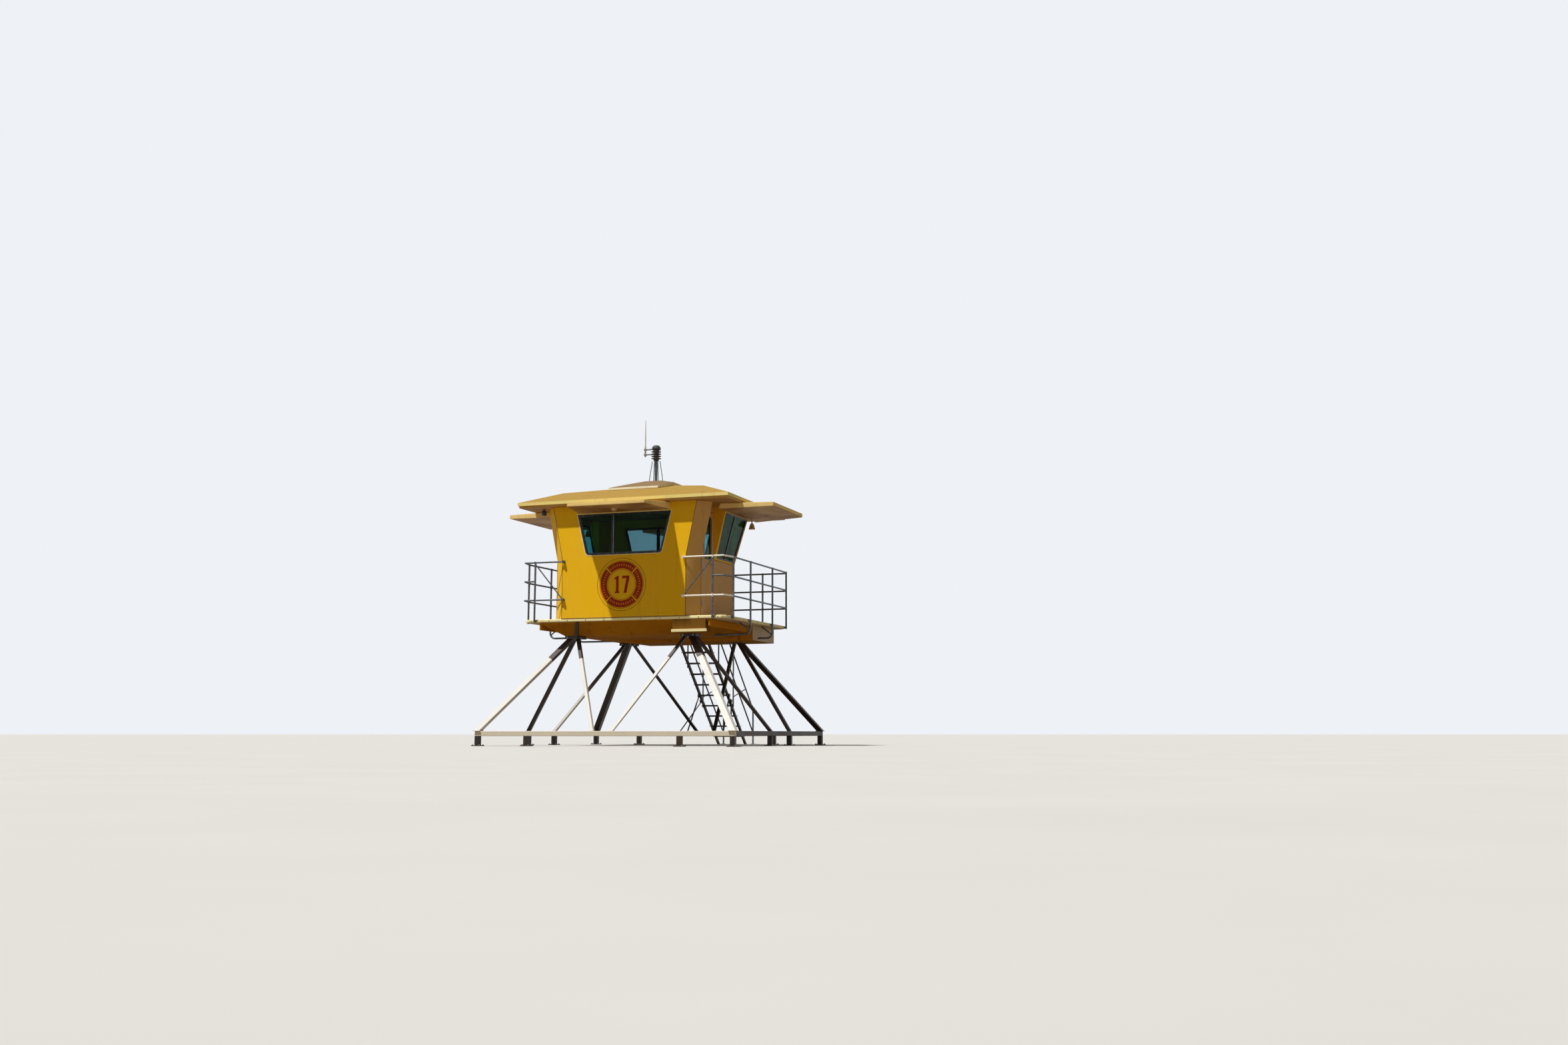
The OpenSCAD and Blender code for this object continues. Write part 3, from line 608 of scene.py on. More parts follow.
# %% Rails that kept their paint
RAILS_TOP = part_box("railing_front_right")[1][2]
PAINTED, PAINT_REACH = (RAILS_TOP - 0.02, RAILS_TOP - 0.733), 0.03
pale_rails = galvanised.copy()
tree = pale_rails.node_tree
shader = tree.nodes["Principled BSDF"]
height = split(tree, object_coords(tree))[2]
away = [calc(tree, "ABSOLUTE", calc(tree, "SUBTRACT", height, level)) for level in PAINTED]
masks = [calc(tree, "LESS_THAN", distance, PAINT_REACH) for distance in away]
zinc = shader.inputs["Base Color"].links[0].from_socket
painted = blend_colours(tree, calc(tree, "MAXIMUM", *masks), zinc, srgb(226, 220, 206))
fill(tree, shader, {"Base Color": painted, "Metallic": 0.2})
print("painted rails at", [round(level, 3) for level in PAINTED])

# %% Finishes on CAD nodes
KEPT = {
    galvanised: ["railing_left", "railing_right", "railing_back_left", "railing_back_right",
                 "railing_front_left", "stair_handrail_left", "stair_handrail_right",
                 "outriggers", "mast", "door_handle"],
    pale_rails: ["railing_front_right"],
    tinted_glass: ["window_glass", "door_glass"],
    frame_black: ["window_frames"],
    deck_grit: ["deck_floor"],
    lamp_tan: ["eave_lamps"],
}
for finish, nodes in KEPT.items():
    for node in nodes:
        mesh = frame["nodes"][node].data
        mesh.materials.clear()
        mesh.materials.append(finish)
print("CAD nodes with a finish:", sum(len(nodes) for nodes in KEPT.values()))

# %% [markdown]
# ## Geometry Nodes for what repeats
# Bolts, weld collars and sealant lines repeat all over the tower. Each tree takes a plain mesh
# of points, with an attribute that says which way every copy faces, or a mesh of edges to
# sweep along. The result is turned into a plain mesh before it rides on the tower. An Array
# modifier suits a straight row, but these follow the tower's joints, and a point for each is
# easy to compute.

# %% Parts of a geometry tree


def new_geometry_tree(name, sizes):
    tree = bpy.data.node_groups.new(name, "GeometryNodeTree")
    tree.interface.new_socket("Geometry", in_out="INPUT", socket_type="NodeSocketGeometry")
    for size, value in sizes.items():
        new_input(tree, size, value)
    tree.interface.new_socket("Geometry", in_out="OUTPUT", socket_type="NodeSocketGeometry")
    return tree, add(tree, "NodeGroupInput").outputs


def scattered(tree, points, instance):
    """Copies of instance on the points, each with its Z along the attribute way."""
    way = add(tree, "GeometryNodeInputNamedAttribute", {"Name": "way"}, data_type="FLOAT_VECTOR")
    turn = add(tree, "FunctionNodeAlignRotationToVector", {"Vector": way.outputs[0]}, axis="Z")
    inputs = {"Points": points, "Instance": instance, "Rotation": turn.outputs[0]}
    return add(tree, "GeometryNodeInstanceOnPoints", inputs).outputs[0]


def round_bar(tree, path, radius, caps=False):
    """A thin round bar of six sides along a path."""
    section = add(tree, "GeometryNodeCurvePrimitiveCircle", {"Resolution": 6, "Radius": radius})
    inputs = {"Curve": path, "Profile Curve": section.outputs[0], "Fill Caps": caps}
    return add(tree, "GeometryNodeCurveToMesh", inputs).outputs[0]


def finished(tree, geometry, material):
    """Ends a tree: instances become real, and get their finish."""
    solid = add(tree, "GeometryNodeRealizeInstances", {"Geometry": geometry}).outputs[0]
    made = add(tree, "GeometryNodeSetMaterial", {"Geometry": solid, "Material": material})
    add(tree, "NodeGroupOutput", {0: made.outputs[0]})


# %% From points to a plain piece


def grown(name, tree, points, ways=(), edges=(), slot="galvanised", **sizes):
    """Runs a geometry tree on a mesh of points and turns the result into a plain piece."""
    seed = bpy.data.meshes.new(name + "_seed")
    seed.from_pydata([tuple(point) for point in points], edges, [])
    if ways:
        attribute = seed.attributes.new("way", "FLOAT_VECTOR", "POINT")
        for item, way in zip(attribute.data, ways):
            item.vector = way
    holder = stand(name + "_seed", seed)
    modifier = holder.modifiers.new("grow", "NODES")
    modifier.node_group = tree
    for item in tree.interface.items_tree:
        if item.name in sizes and item.in_out == "INPUT":
            modifier[item.identifier] = sizes[item.name]
    evaluated = holder.evaluated_get(bpy.context.evaluated_depsgraph_get())
    mesh = bpy.data.meshes.new_from_object(evaluated)
    mesh.name = name
    bpy.data.objects.remove(holder)
    print(name, len(mesh.polygons), "faces")
    return piece_of(name, mesh)


# %% [markdown]
# ## Bolts
# A bolt is a washer, a six-sided head and the end of its stem, all sized by the head. Each
# foot plate is held by four, each leg head by two on each side, and each stair tread by two
# at each end. A mark is a point and the way that the bolt faces, and `zip(*marks)` parts the
# marks into a list of points and a list of ways.

# %% Bolt tree
bolt_tree, entry = new_geometry_tree("bolt", {"Head": 0.014})


def of_head(share):
    return times(bolt_tree, entry["Head"], share)


def disc(sides, radius, depth, base):
    """A short cylinder that starts at height base."""
    inputs = {"Vertices": sides, "Radius": radius, "Depth": depth}
    shape = add(bolt_tree, "GeometryNodeMeshCylinder", inputs).outputs[0]
    middle = plus(bolt_tree, times(bolt_tree, depth, 0.5), base)
    lift = add(bolt_tree, "ShaderNodeCombineXYZ", {2: middle}).outputs[0]
    inputs = {"Geometry": shape, "Translation": lift}
    return add(bolt_tree, "GeometryNodeTransform", inputs).outputs[0]


washer_depth = of_head(0.22)
bolt = add(bolt_tree, "GeometryNodeJoinGeometry")
for part in (
    disc(16, of_head(1.35), washer_depth, 0.0),
    disc(6, entry["Head"], of_head(0.7), washer_depth),
    disc(10, of_head(0.5), of_head(1.1), washer_depth),
):
    bolt_tree.links.new(part, bolt.inputs[0])
bolts = scattered(bolt_tree, entry["Geometry"], bolt.outputs[0])
finished(bolt_tree, bolts, bolt_steel)

# %% Bolts on the base and the heads
BASE_X, BASE_Y, INNER_Y, INNER_X = 2.5, 2.45, 0.54, 1.5
FOOT_BOLT, FOOT_TOP = 0.068, 0.014
feet = [(x, y) for x in (-BASE_X, BASE_X) for y in (-BASE_Y, -INNER_Y, INNER_Y, BASE_Y)]
feet += [(x, y) for x in (-INNER_X, INNER_X) for y in (-BASE_Y, BASE_Y)]
marks = [((x + sx, y + sy + MID_Y, FOOT_TOP), (0, 0, 1))
         for x, y in feet for sx in (-FOOT_BOLT, FOOT_BOLT) for sy in (-FOOT_BOLT, FOOT_BOLT)]
HEAD_X, HEAD_Y, HEAD_HALF, HEAD_BOLT = 1.18, 1.2, 0.15, 0.10
HEAD_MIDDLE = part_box("leg_heads")[0][2] + 0.028
for x in (-HEAD_X, HEAD_X):
    for y in (-HEAD_Y, HEAD_Y):
        for shift in (-HEAD_BOLT, HEAD_BOLT):
            for a, b in ((1, 0), (-1, 0), (0, 1), (0, -1)):
                across, along = x + a * HEAD_HALF + b * shift, y + b * HEAD_HALF + a * shift
                marks.append(((across, along + MID_Y, HEAD_MIDDLE), (a, b, 0)))
grown("base_bolts", bolt_tree, *zip(*marks), Head=0.013)

# %% Bolts on the stair
STAIR_DROP, STAIR_RISE, STAIR_RUN, TREADS = 0.240, 0.214, 0.225, 10
TREAD_START, TREAD_HALF, STRINGER_FACE = 1.664, 0.015, 0.330
marks = []
for step in range(TREADS):
    z = -STAIR_DROP - TREAD_HALF - STAIR_RISE * step
    for along in (0.05, 0.19):
        for side in (-1, 1):
            y = TREAD_START + STAIR_RUN * step + along
            marks.append((place(side * STRINGER_FACE, y, z), (side, 0, 0)))
grown("stair_bolts", bolt_tree, *zip(*marks), Head=0.009)

# %% [markdown]
# ## Weld collars
# Every rail of the railing is cut to fit between posts and welded round. A small ring of weld
# shows on each side of a post. One ring is swept in a geometry tree and copied to each joint.

# %% Weld collar tree
weld_tree, entry = new_geometry_tree("weld_collar", {"Rail": 0.0165, "Bead": 0.0035})
inputs = {"Resolution": 20, "Radius": entry["Rail"]}
ring = add(weld_tree, "GeometryNodeCurvePrimitiveCircle", inputs).outputs[0]
collar = round_bar(weld_tree, ring, entry["Bead"])
finished(weld_tree, scattered(weld_tree, entry["Geometry"], collar), galvanised)

# %% Collars on the rails
RAIL_X, RAIL_Y, RAIL_TOP = 2.09, 1.70, 1.07
POST_REACH, BACK_POST, STAIR_POST, FRONT_POST = 0.0175, 1.53, 0.345, 1.80
SIDE_POSTS = (-1.40, -0.50, 0.72, 1.535)
marks = []
for level in (1, 2, 3):
    z = RAIL_TOP * level / 3
    for side in (-1, 1):
        for number, y in enumerate(SIDE_POSTS):
            for way in (-1, 1):
                if 0 <= number + way <= 3:
                    marks.append((place(side * RAIL_X, y + way * POST_REACH, z), (0, way, 0)))
        for way in (-1, 1):
            x = side * (BACK_POST + way * POST_REACH)
            marks.append((place(x, RAIL_Y, z), (way, 0, 0)))
        marks.append((place(side * (STAIR_POST + POST_REACH), RAIL_Y, z), (side, 0, 0)))
        marks.append((place(side * (FRONT_POST + POST_REACH), -RAIL_Y, z), (side, 0, 0)))
grown("rail_welds", weld_tree, *zip(*marks))

# %% [markdown]
# ## Sealant lines
# The cabin is built from flat mouldings, and each joint is closed with a bead of sealant that
# has gone dark. The joint lines are drawn as edges and swept with a small round section. A
# bead is the same all along, so edges are enough to draw it.

# %% Sealant tree
seal_tree, entry = new_geometry_tree("sealant", {"Bead": 0.005})
path = add(seal_tree, "GeometryNodeMeshToCurve", {"Mesh": entry["Geometry"]}).outputs[0]
finished(seal_tree, round_bar(seal_tree, path, entry["Bead"], True), sealant)

# %% Joints of the cabin
FRONT_HALF, CABIN_X, KNEE, WALL_H, SPREAD = 1.253, 1.470, 1.10, 2.11, 0.21
CABIN_Y, FOLD_Y, BAY_START, FOOT_LINE = (-1.658, 0.472), (-1.441, 0.255), -0.801, 0.003
lines = []
for side in (-1, 1):
    front, cabin = side * FRONT_HALF, side * CABIN_X
    for y in CABIN_Y:
        lines.append([(front, y, 0), (front, y, KNEE), (side * (FRONT_HALF + SPREAD), y, WALL_H)])
    for y in FOLD_Y:
        lines.append([(cabin, y, 0), (cabin, y, KNEE)])
    lines.append([(cabin, BAY_START, KNEE), (cabin, FOLD_Y[1], KNEE)])
    foot = [(front, CABIN_Y[0], FOOT_LINE), (cabin, FOLD_Y[0], FOOT_LINE),
            (cabin, FOLD_Y[1], FOOT_LINE), (front, CABIN_Y[1], FOOT_LINE)]
    if side < 0:
        lines.append(foot)
    else:
        lines += [foot[:2], [(CABIN_X, BAY_START, FOOT_LINE)] + foot[2:]]
for y in CABIN_Y:
    lines.append([(-FRONT_HALF, y, FOOT_LINE), (FRONT_HALF, y, FOOT_LINE)])
points, edges = [], []
for line in lines:
    start = len(points)
    points += [place(*point) for point in line]
    edges += [(start + i, start + i + 1) for i in range(len(line) - 1)]
grown("sealant_lines", seal_tree, points, edges=edges, slot="window_frame")

# %% [markdown]
# ## Bolts in the lip
# The lip is bolted to the hull all round. A run of points at an even pitch, each with the way
# it faces, is enough for the bolt tree to fit the heads.

# %% Bolts in the lip
LIP_HALF, LIP_CUT, LIP_END, LIP_PITCH = (2.05, 1.658), 0.100, 0.06, 0.37
LIP_LEVEL = (deck_low[2] + deck_high[2]) / 2


def evenly(reach, pitch):
    """Places from -reach to reach at about the given pitch."""
    count = round(2 * reach / pitch)
    return [-reach + 2 * reach * i / count for i in range(count + 1)]


marks = []
for side, corner in ((-1, deck_low), (1, deck_high)):
    for x in evenly(LIP_HALF[0] - LIP_CUT - LIP_END, LIP_PITCH):
        marks.append(((x, corner[1], LIP_LEVEL), (0, side, 0)))
    for y in evenly(LIP_HALF[1] - LIP_CUT - LIP_END, LIP_PITCH):
        marks.append(((corner[0], y + MID_Y, LIP_LEVEL), (side, 0, 0)))
grown("lip_bolts", bolt_tree, *zip(*marks), Head=0.008)

# %% [markdown]
# ## Thin plates and the roundel
# Sashes, beads, gaskets and painted marks are all thin plates with an outline, and most have a
# hole. One helper skins the four lines round such a band. The front wall carries a plain
# roundel, a red band in four parts between thin rings, with plain ticks, round a plain number.
# Marks could be drawn by the wall's finish, but plates stay sharp from near by and are easy to
# export.

# %% Arcs and skins


def arc(middle, radius, turns):
    """Points round a middle at the given angles."""
    return [(middle[0] + radius * math.cos(t), middle[1] + radius * math.sin(t)) for t in turns]


def full_turn(count):
    return [2 * math.pi * i / count for i in range(count)]


def skin(shape, lines, closed):
    """Faces between four lines with equally many corners. An open band gets its two ends."""
    count = len(lines[0])
    for i in range(count if closed else count - 1):
        j = (i + 1) % count
        for a, b in ((0, 1), (1, 3), (3, 2), (2, 0)):
            shape.faces.new((lines[a][i], lines[a][j], lines[b][j], lines[b][i]))
    for i in () if closed else (0, count - 1):
        shape.faces.new((lines[0][i], lines[1][i], lines[3][i], lines[2][i]))


# %% Plates, blocks and pieces


def mesh_from(shape, name, material):
    mesh = bpy.data.meshes.new(name)
    shape.to_mesh(mesh)
    shape.free()
    mesh.materials.append(material)
    return mesh


def piece_from(shape, name, material, body="tower"):
    piece = piece_of(name, mesh_from(shape, name, material), body)
    print(name, len(piece.data.polygons), "faces")
    return piece


def ring_plate(name, outer, inner, at, thickness, material, slot, body="tower", axis="y"):
    """A closed band between two outlines with equally many corners. axis is across the band."""
    shape = bmesh.new()

    def corner(point, depth):
        a, b = point
        return shape.verts.new((a, at + depth, b) if axis == "y" else (at + depth, a, b))

    lines = [[corner(point, depth) for point in outline]
             for depth in (0.0, thickness) for outline in (outer, inner)]
    skin(shape, lines, True)
    bmesh.ops.recalc_face_normals(shape, faces=shape.faces)
    return piece_from(shape, name, material, body)


def block(shape, low, high):
    """A box between two corners, added to a mesh in the making."""
    made = bmesh.ops.create_cube(shape, size=1.0)["verts"]
    for vertex in made:
        vertex.co = Vector([(a + b) / 2 + c * (b - a) for a, b, c in zip(low, high, vertex.co)])


# %% Thin rings of the roundel
ROUNDEL, VINYL = (-0.03, DECK_TOP + 0.61), 0.0015
for name, radii, finish in (
    ("roundel_outline", (0.494, 0.487), mark_dark),
    ("roundel_outer_line", (0.446, 0.438), mark_dark),
    ("roundel_inner_line", (0.284, 0.276), mark_red),
):
    outlines = [arc(ROUNDEL, radius, full_turn(96)) for radius in radii]
    ring_plate(name, *outlines, FRONT_FACE, -VINYL, finish, "shell_yellow")

# %% The band and its ticks
BAND, BAND_GAP = (0.428, 0.298), math.radians(4)


def band_quarter(number, steps=24):
    """Outline of a quarter of the band, from one gap to the next."""
    first = math.radians(45 + 90 * number) + BAND_GAP / 2
    turns = [first + (math.pi / 2 - BAND_GAP) * i / steps for i in range(steps + 1)]
    return [arc(ROUNDEL, radius, turns) for radius in BAND]


def flat_plates(bands, name, material, layer=0):
    """Plates of vinyl thickness on the front wall, as one piece."""
    shape = bmesh.new()
    for band in bands:
        skin(shape, [[shape.verts.new((a, FRONT_FACE - depth * VINYL, b)) for a, b in line]
                     for depth in (layer, layer + 1) for line in band], False)
    bmesh.ops.recalc_face_normals(shape, faces=shape.faces)
    piece_from(shape, name, material)


flat_plates([band_quarter(number) for number in range(4)], "roundel_band", mark_red)

TICK_REACH, TICK_HALF, TICKS = (0.382, 0.345), 0.008, 11


def tick(angle):
    """A short plain bar across the band."""
    out = Vector((math.cos(angle), math.sin(angle)))
    side = Vector((-math.sin(angle), math.cos(angle)))
    middle = Vector(ROUNDEL)
    return [[middle + out * reach + side * TICK_HALF * way for way in (-1, 1)]
            for reach in TICK_REACH]


steps = [number + (index + 1) / (TICKS + 1) for number in range(4) for index in range(TICKS)]
bars = [tick(math.radians(45 + 90 * step)) for step in steps]
flat_plates(bars, "roundel_ticks", mark_pale, 1)

# %% The number in the roundel
ONE = [(-0.044, -0.160), (0.050, -0.160), (0.050, -0.130), (0.032, -0.130), (0.032, 0.160),
       (0.004, 0.160), (-0.052, 0.124), (-0.052, 0.090), (-0.020, 0.104), (-0.020, -0.130),
       (-0.044, -0.130)]
SEVEN = [(-0.036, -0.160), (0.022, -0.160), (0.076, 0.116), (0.076, 0.160), (-0.070, 0.160),
         (-0.070, 0.110), (0.016, 0.110)]
shape = bmesh.new()
for shift, digit in ((-0.090, ONE), (0.082, SEVEN)):
    middle = ROUNDEL[0] + shift
    near, far = ([shape.verts.new((middle + a, FRONT_FACE - depth, ROUNDEL[1] + b))
                  for a, b in digit] for depth in (0.0, VINYL))
    shape.faces.new(near)
    shape.faces.new(far)
    for i in range(len(digit)):
        shape.faces.new((near[i - 1], near[i], far[i], far[i - 1]))
bmesh.ops.recalc_face_normals(shape, faces=shape.faces)
piece_from(shape, "roundel_number", mark_red)

# %% [markdown]
# ## End windows
# The front and back windows are wider at the top and have round lower corners. Each holds two
# sliding sashes that meet at a mullion. All their outlines are the same shape at different
# distances from the opening's edge, so one function gives them: the sashes, a pale bead
# against the wall, and the line that the frame's screws follow. A bright stile stands beside
# the front mullion.

# %% Outlines of the end windows
END_WALLS = {"front": (FRONT_FACE, 1), "back": (BACK_FACE, -1)}
SILL, WINDOW_TOP = 1.175, 1.950
HALF_LOW, HALF_HIGH = 0.765, 0.955
SASH_EDGE, SASH_WIDTH, SASH_DEPTH, MULLION = 0.026, 0.018, 0.008, (-0.240, -0.205)
CORNER, CRISP = 0.080, 0.004


def filleted(corners, radii, steps=8):
    """The outline of a convex shape with each corner rounded by its own radius."""
    points, count = [], len(corners)
    for i, radius in enumerate(radii):
        here = Vector(corners[i])
        back = (Vector(corners[i - 1]) - here).normalized()
        ahead = (Vector(corners[(i + 1) % count]) - here).normalized()
        half = back.angle(ahead) / 2
        middle = here + (back + ahead).normalized() * (radius / math.sin(half))
        start = here + back * (radius / math.tan(half)) - middle
        end = here + ahead * (radius / math.tan(half)) - middle
        turn = start.angle_signed(end)
        first = math.atan2(start.y, start.x)
        points += arc(middle, radius, [first - turn * step / steps for step in range(steps + 1)])
    return points


def sash_outline(inset, left=None, right=None):
    """Outline of one sash. left and right are fixed edges, or None to follow the window's side."""
    slope = (HALF_HIGH - HALF_LOW) / (WINDOW_TOP - SILL)
    low, high, own = SILL + inset, WINDOW_TOP - inset, inset - SASH_EDGE

    def ends(z):
        edge = HALF_LOW + (z - SILL) * slope - inset * math.sqrt(1 + slope * slope)
        return -edge if left is None else left + own, edge if right is None else right - own

    (a, b), (c, d) = ends(low), ends(high)
    corners = [(a, low), (b, low), (d, high), (c, high)]
    radii = [CORNER - inset if fixed is None else CRISP for fixed in (left, right)]
    return filleted([(x, z + DECK_TOP) for x, z in corners], radii + [CRISP, CRISP])


# %% Sliding sashes
for wall, (face, way) in END_WALLS.items():
    near = face + way * (0.012 if way > 0 else 0.030)
    for half, left, right in (("left", None, MULLION[0]), ("right", MULLION[1], None)):
        outlines = [sash_outline(SASH_EDGE + grow, left, right) for grow in (0.0, SASH_WIDTH)]
        depth = way * SASH_DEPTH
        ring_plate(f"sash_{wall}_{half}", *outlines, near, depth, frame_black, "window_frame")

# %% Pale bead round the window openings
BEAD, BEAD_OVERLAP, BEAD_PROUD, BEAD_DEPTH = 0.014, 0.001, 0.004, 0.006
for wall, (face, way) in END_WALLS.items():
    outlines = [sash_outline(-grow) for grow in (BEAD, BEAD_OVERLAP)]
    near = face - way * BEAD_PROUD
    ring_plate(f"bead_{wall}", *outlines, near, way * BEAD_DEPTH, gelcoats["lip"], "lip_pale")

# %% Screws round the window frames
SCREW_INSET, SCREW_PITCH, FRAME_FACE = 0.012, 0.19, 0.008


def walk(points, pitch):
    """Places at an even pitch along a closed line."""
    found, left = [], pitch / 2
    for a, b in zip(points, points[1:] + points[:1]):
        a, b = Vector(a), Vector(b)
        length = (b - a).length
        while left < length:
            found.append(a.lerp(b, left / length))
            left += pitch
        left -= length
    return found


marks = [((a, face + way * FRAME_FACE, b), (0, -way, 0)) for face, way in END_WALLS.values()
         for a, b in walk(sash_outline(SCREW_INSET), SCREW_PITCH)]
grown("frame_screws", bolt_tree, *zip(*marks), Head=0.0045)

# %% Bright stile beside the mullion
STILE = (-0.2115, -0.2045)
low = (STILE[0], FRONT_FACE - 0.002, SILL + DECK_TOP + SASH_EDGE)
high = (STILE[1], FRONT_FACE + 0.004, WINDOW_TOP + DECK_TOP - SASH_EDGE)
stile = bmesh.new()
block(stile, low, high)
piece_from(stile, "sash_stile", bolt_steel)

# %% [markdown]
# ## The door
# The leaf hangs on three butt hinges whose knuckles share one axis just outside the leaf. The
# pane sits in a rubber gasket. All of it rides with the leaf, except the hinge plates that are
# screwed to the jamb. The small pieces could be children of the leaf, but here each one names
# the body that carries it, which is plainer to read.

# %% Lathe helper


def lathe(name, profile, middle, material, sides, body="tower"):
    """Turns a profile of (radius, height) round an upright axis. It closes itself at radius 0."""
    shape = bmesh.new()
    rings = []
    for radius, height in profile:
        spots = arc(middle, radius, full_turn(sides if radius else 1))
        rings.append([shape.verts.new((a, b, middle[2] + height)) for a, b in spots])
    for lower, upper in zip(rings, rings[1:]):
        for i in range(sides):
            j = (i + 1) % sides
            if len(lower) == 1:
                shape.faces.new((lower[0], upper[j], upper[i]))
            elif len(upper) == 1:
                shape.faces.new((lower[i], lower[j], upper[0]))
            else:
                shape.faces.new((lower[i], lower[j], upper[j], upper[i]))
    bmesh.ops.recalc_face_normals(shape, faces=shape.faces)
    piece = piece_from(shape, name, material, body)
    for polygon in piece.data.polygons:
        polygon.use_smooth = True
    return piece


# %% Hinges
HINGE = frame["record"]["behaviour"]["joints"][0]["pos_m"]
leaf_low, leaf_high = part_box("door")
HINGE_HEIGHTS = [leaf_low[2] + share * (leaf_high[2] - leaf_low[2]) for share in (0.12, 0.5, 0.88)]
KNUCKLE, PLATE, PLATE_REACH, HINGE_HALF = 0.0055, 0.0015, 0.036, 0.055
moving, fixed = bmesh.new(), bmesh.new()
for z in HINGE_HEIGHTS:
    down, up = z - HINGE_HALF, z + HINGE_HALF
    block(moving, (leaf_high[0], leaf_low[1] + 0.002, down),
          (leaf_high[0] + PLATE, leaf_low[1] + PLATE_REACH, up))
    block(fixed, (CABIN_X, HINGE[1] - PLATE_REACH, down), (CABIN_X + PLATE, HINGE[1] - 0.004, up))
piece_from(moving, "hinge_plates_leaf", bolt_steel, "door")
piece_from(fixed, "hinge_plates_jamb", bolt_steel)
profile = [(0, -HINGE_HALF), (KNUCKLE, -HINGE_HALF), (KNUCKLE, HINGE_HALF), (0, HINGE_HALF)]
for number, z in enumerate(HINGE_HEIGHTS):
    middle = (HINGE[0], HINGE[1], z)
    lathe(f"hinge_knuckle_{number}", profile, middle, bolt_steel, 16, "door")

# %% Door gasket
PANE_RADIUS, GASKET, GASKET_OVERLAP, GASKET_DEPTH = 0.060, 0.012, 0.006, 0.003


def rounded_box(low, high, radius, grow, steps=8):
    """A rounded oblong round a pane, seen from the side."""
    top, bottom, far, near = high[2] - radius, low[2] + radius, high[1] - radius, low[1] + radius
    points = []
    for quarter, middle in enumerate(((far, top), (near, top), (near, bottom), (far, bottom))):
        turns = [(quarter + s / steps) * math.pi / 2 for s in range(steps + 1)]
        points += arc(middle, radius + grow, turns)
    return points


outlines = [rounded_box(*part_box("door_glass"), PANE_RADIUS, grow)
            for grow in (GASKET, -GASKET_OVERLAP)]
for name, at_x, way in (("outer", leaf_high[0], 1), ("inner", leaf_low[0], -1)):
    depth = way * GASKET_DEPTH
    ring_plate(f"door_gasket_{name}", *outlines, at_x, depth, rubber, "window_frame", "door", "x")

# %% [markdown]
# ## Gear on the mast
# A stack of horn discs under a domed cover stands on the pole, and a whip aerial is clamped
# beside it. They stand for the plain CAD solid, and keep inside its outline. Round things
# could be stacked from cylinders, but one profile turned round an axis gives every step and
# dome at once.

# %% Siren
head_low, head_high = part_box("mast_head")
POLE_Y = (cap_low[1] + cap_high[1]) / 2
SIREN_R, SIREN_H, DISC_START, DISC_PITCH = 0.095, 0.320, 0.035, 0.045
profile = [(0, 0), (0.05, 0), (0.05, 0.03)]
for number in range(4):
    z = DISC_START + number * DISC_PITCH
    profile += [(0.045, z), (SIREN_R, z + 0.012), (SIREN_R, z + 0.020), (0.052, z + 0.032)]
profile += [(0.060, 0.215), (0.085, 0.225), (0.088, 0.250), (0.078, 0.285), (0.050, 0.311),
            (0, SIREN_H)]
siren = lathe("siren", profile, (0, POLE_Y, head_low[2]), dark_plastic, 40)
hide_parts("mast_head")

# %% Whip aerial
WHIP_X, WHIP_FOOT = -0.235, head_low[2] + 0.10
WHIP_LENGTH = head_high[2] - WHIP_FOOT - 0.005
profile = [(0, 0), (0.016, 0), (0.016, 0.20), (0.012, 0.22), (0.011, 0.40),
           (0.007, WHIP_LENGTH - 0.01), (0, WHIP_LENGTH)]
lathe("whip_aerial", profile, (WHIP_X, POLE_Y, WHIP_FOOT), whip_white, 14)
ARM_HALF, GRIP, GRIP_HALF = 0.012, 0.022, 0.018
clamps = bmesh.new()
for height in (0.14, 0.24):
    z = head_low[2] + height
    block(clamps, (WHIP_X - 0.02, POLE_Y - ARM_HALF, z - ARM_HALF),
          (-0.04, POLE_Y + ARM_HALF, z + ARM_HALF))
    block(clamps, (WHIP_X - GRIP, POLE_Y - GRIP, z - GRIP_HALF),
          (WHIP_X + GRIP, POLE_Y + GRIP, z + GRIP_HALF))
piece_from(clamps, "whip_clamps", bolt_steel)

# %% [markdown]
# ## Small lamps
# A domed lamp hangs under the front visor, and a can with a bracket hangs under the eaves at
# one corner. Both are round, so each is turned from a short profile.

# %% Small lamps under the front of the roof
VISOR_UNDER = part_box("visor_front")[0][2] + 0.004
SOFFIT_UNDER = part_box("roof_soffit")[0][2]
dome = [(0, -0.052), (0.022, -0.050), (0.042, -0.038), (0.052, -0.018), (0.056, 0.0),
        (0.064, 0.002), (0.064, 0.012), (0, 0.012)]
can = [(0, -0.118), (0.040, -0.118), (0.046, -0.112), (0.046, -0.040), (0.034, -0.026),
       (0.012, -0.020), (0.012, -0.006), (0.034, -0.004), (0.034, 0.0), (0, 0.0)]
lathe("visor_lamp", dome, (-0.01, -2.06 + MID_Y, VISOR_UNDER), lamp_tan, 28)
lathe("corner_lamp", can, (-1.745, -1.505 + MID_Y, SOFFIT_UNDER), dark_plastic, 28)

# %% [markdown]
# ## Studio
# A wide pale floor and an even pale surround carry a soft key light from the upper left, as in
# the photograph. The surround and the floor are brighter to the camera, mirrors and glass than
# they are as light, so that the shaded sides keep their depth, and the light that bounces is
# warm, as it is outdoors on a dry day. A picture of a sky could light the tower, but a plain
# key and fill are simple to match and hide nothing.

# %% Floor
FLOOR_RADIUS, FLOOR_DROP = 600, 0.001
FLOOR_BOUNCE = (0.23, 0.18, 0.12, 1)
FLOOR_SEEN = (0.56, 0.557, 0.545, 1), (0.62, 0.617, 0.605, 1)


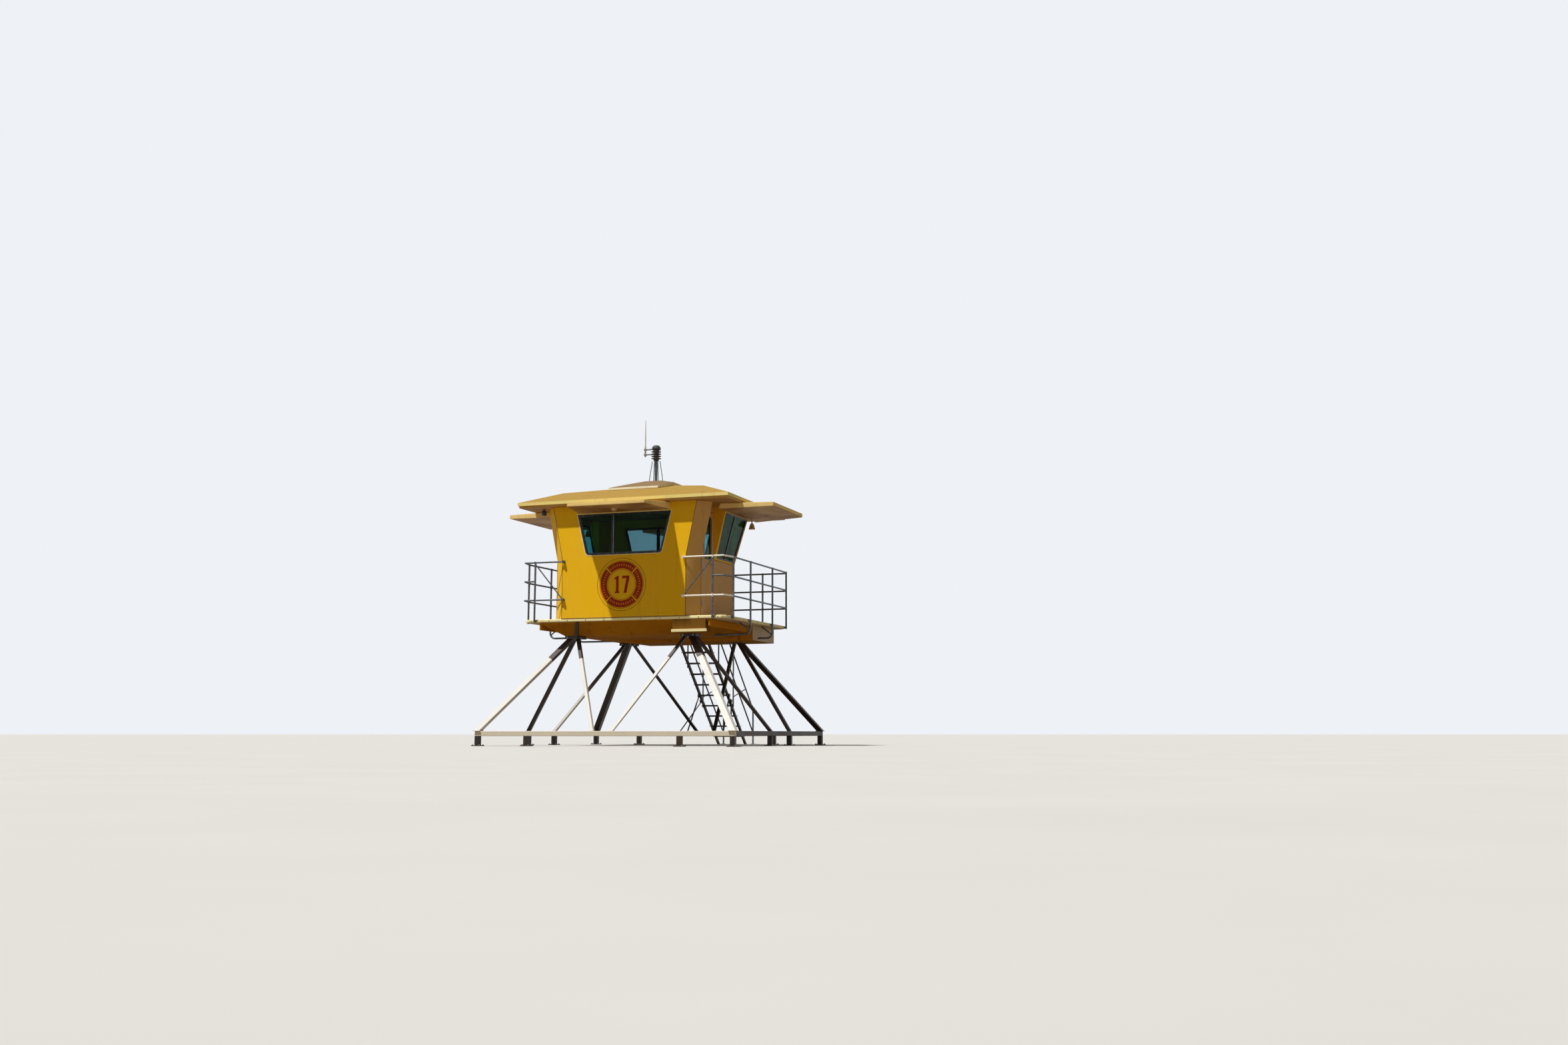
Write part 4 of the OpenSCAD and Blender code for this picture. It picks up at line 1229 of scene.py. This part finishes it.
def direct_view(tree):
    """1 for the camera, mirrors and glass, 0 for light that bounces."""
    path = add(tree, "ShaderNodeLightPath").outputs
    seen = calc(tree, "MAXIMUM", path["Is Camera Ray"], path["Is Glossy Ray"])
    return calc(tree, "MAXIMUM", seen, path["Is Transmission Ray"])


shape = bmesh.new()
bmesh.ops.create_circle(shape, cap_ends=True, segments=96, radius=FLOOR_RADIUS)
floor_material, tree, shader = new_material("studio_floor")
tone = blend_colours(tree, noise(tree, object_coords(tree), 0.8, 4.0), *FLOOR_SEEN)
tone = blend_colours(tree, direct_view(tree), FLOOR_BOUNCE, tone)
fill(tree, shader, {"Base Color": tone, "Roughness": 0.9})
floor = stand("studio_floor", mesh_from(shape, "studio_floor", floor_material))
floor.location.z = -FLOOR_DROP
floor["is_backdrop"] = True

# %% Lights
SUN_WAY = Vector((0.72, 1.0, -2.6))
FILL, SEEN = 0.18, 0.92
WARM, PALE = (1.0, 0.92, 0.80, 1), (0.93, 0.955, 1.0, 1)
sun_data = bpy.data.lights.new("key", "SUN")
sun_data.energy = 3.8
sun_data.angle = math.radians(1.6)
sun_data.color = (1.0, 0.975, 0.94)
sun = stand("key", sun_data)
sun.rotation_mode = "QUATERNION"
sun.rotation_quaternion = SUN_WAY.to_track_quat("-Z", "Y")

world = bpy.data.worlds.new("studio")
bpy.context.scene.world = world
world.use_nodes = True
tree = world.node_tree
seen = direct_view(tree)
strength = remap(tree, seen, 0.0, 1.0, FILL, SEEN)
surround = {"Color": blend_colours(tree, seen, WARM, PALE), "Strength": strength}
fill(tree, tree.nodes["Background"], surround)

bpy.context.scene.view_settings.view_transform = "Standard"
print("sun", sun_data.energy, "fill", FILL, "seen", SEEN)

# %% [markdown]
# ## Sizes and the end
# Looks don't change the tower's size. The CAD model's box was kept at the start, and the box of
# what is shown now is put beside it; that box is printed.

# %% Sizes and the end
low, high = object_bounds()
sizes = {"cad": [list(CAD_LOW), list(CAD_HIGH)], "visual": [list(low), list(high)]}
print("visual box", [round(v, 3) for v in (*low, *high)])
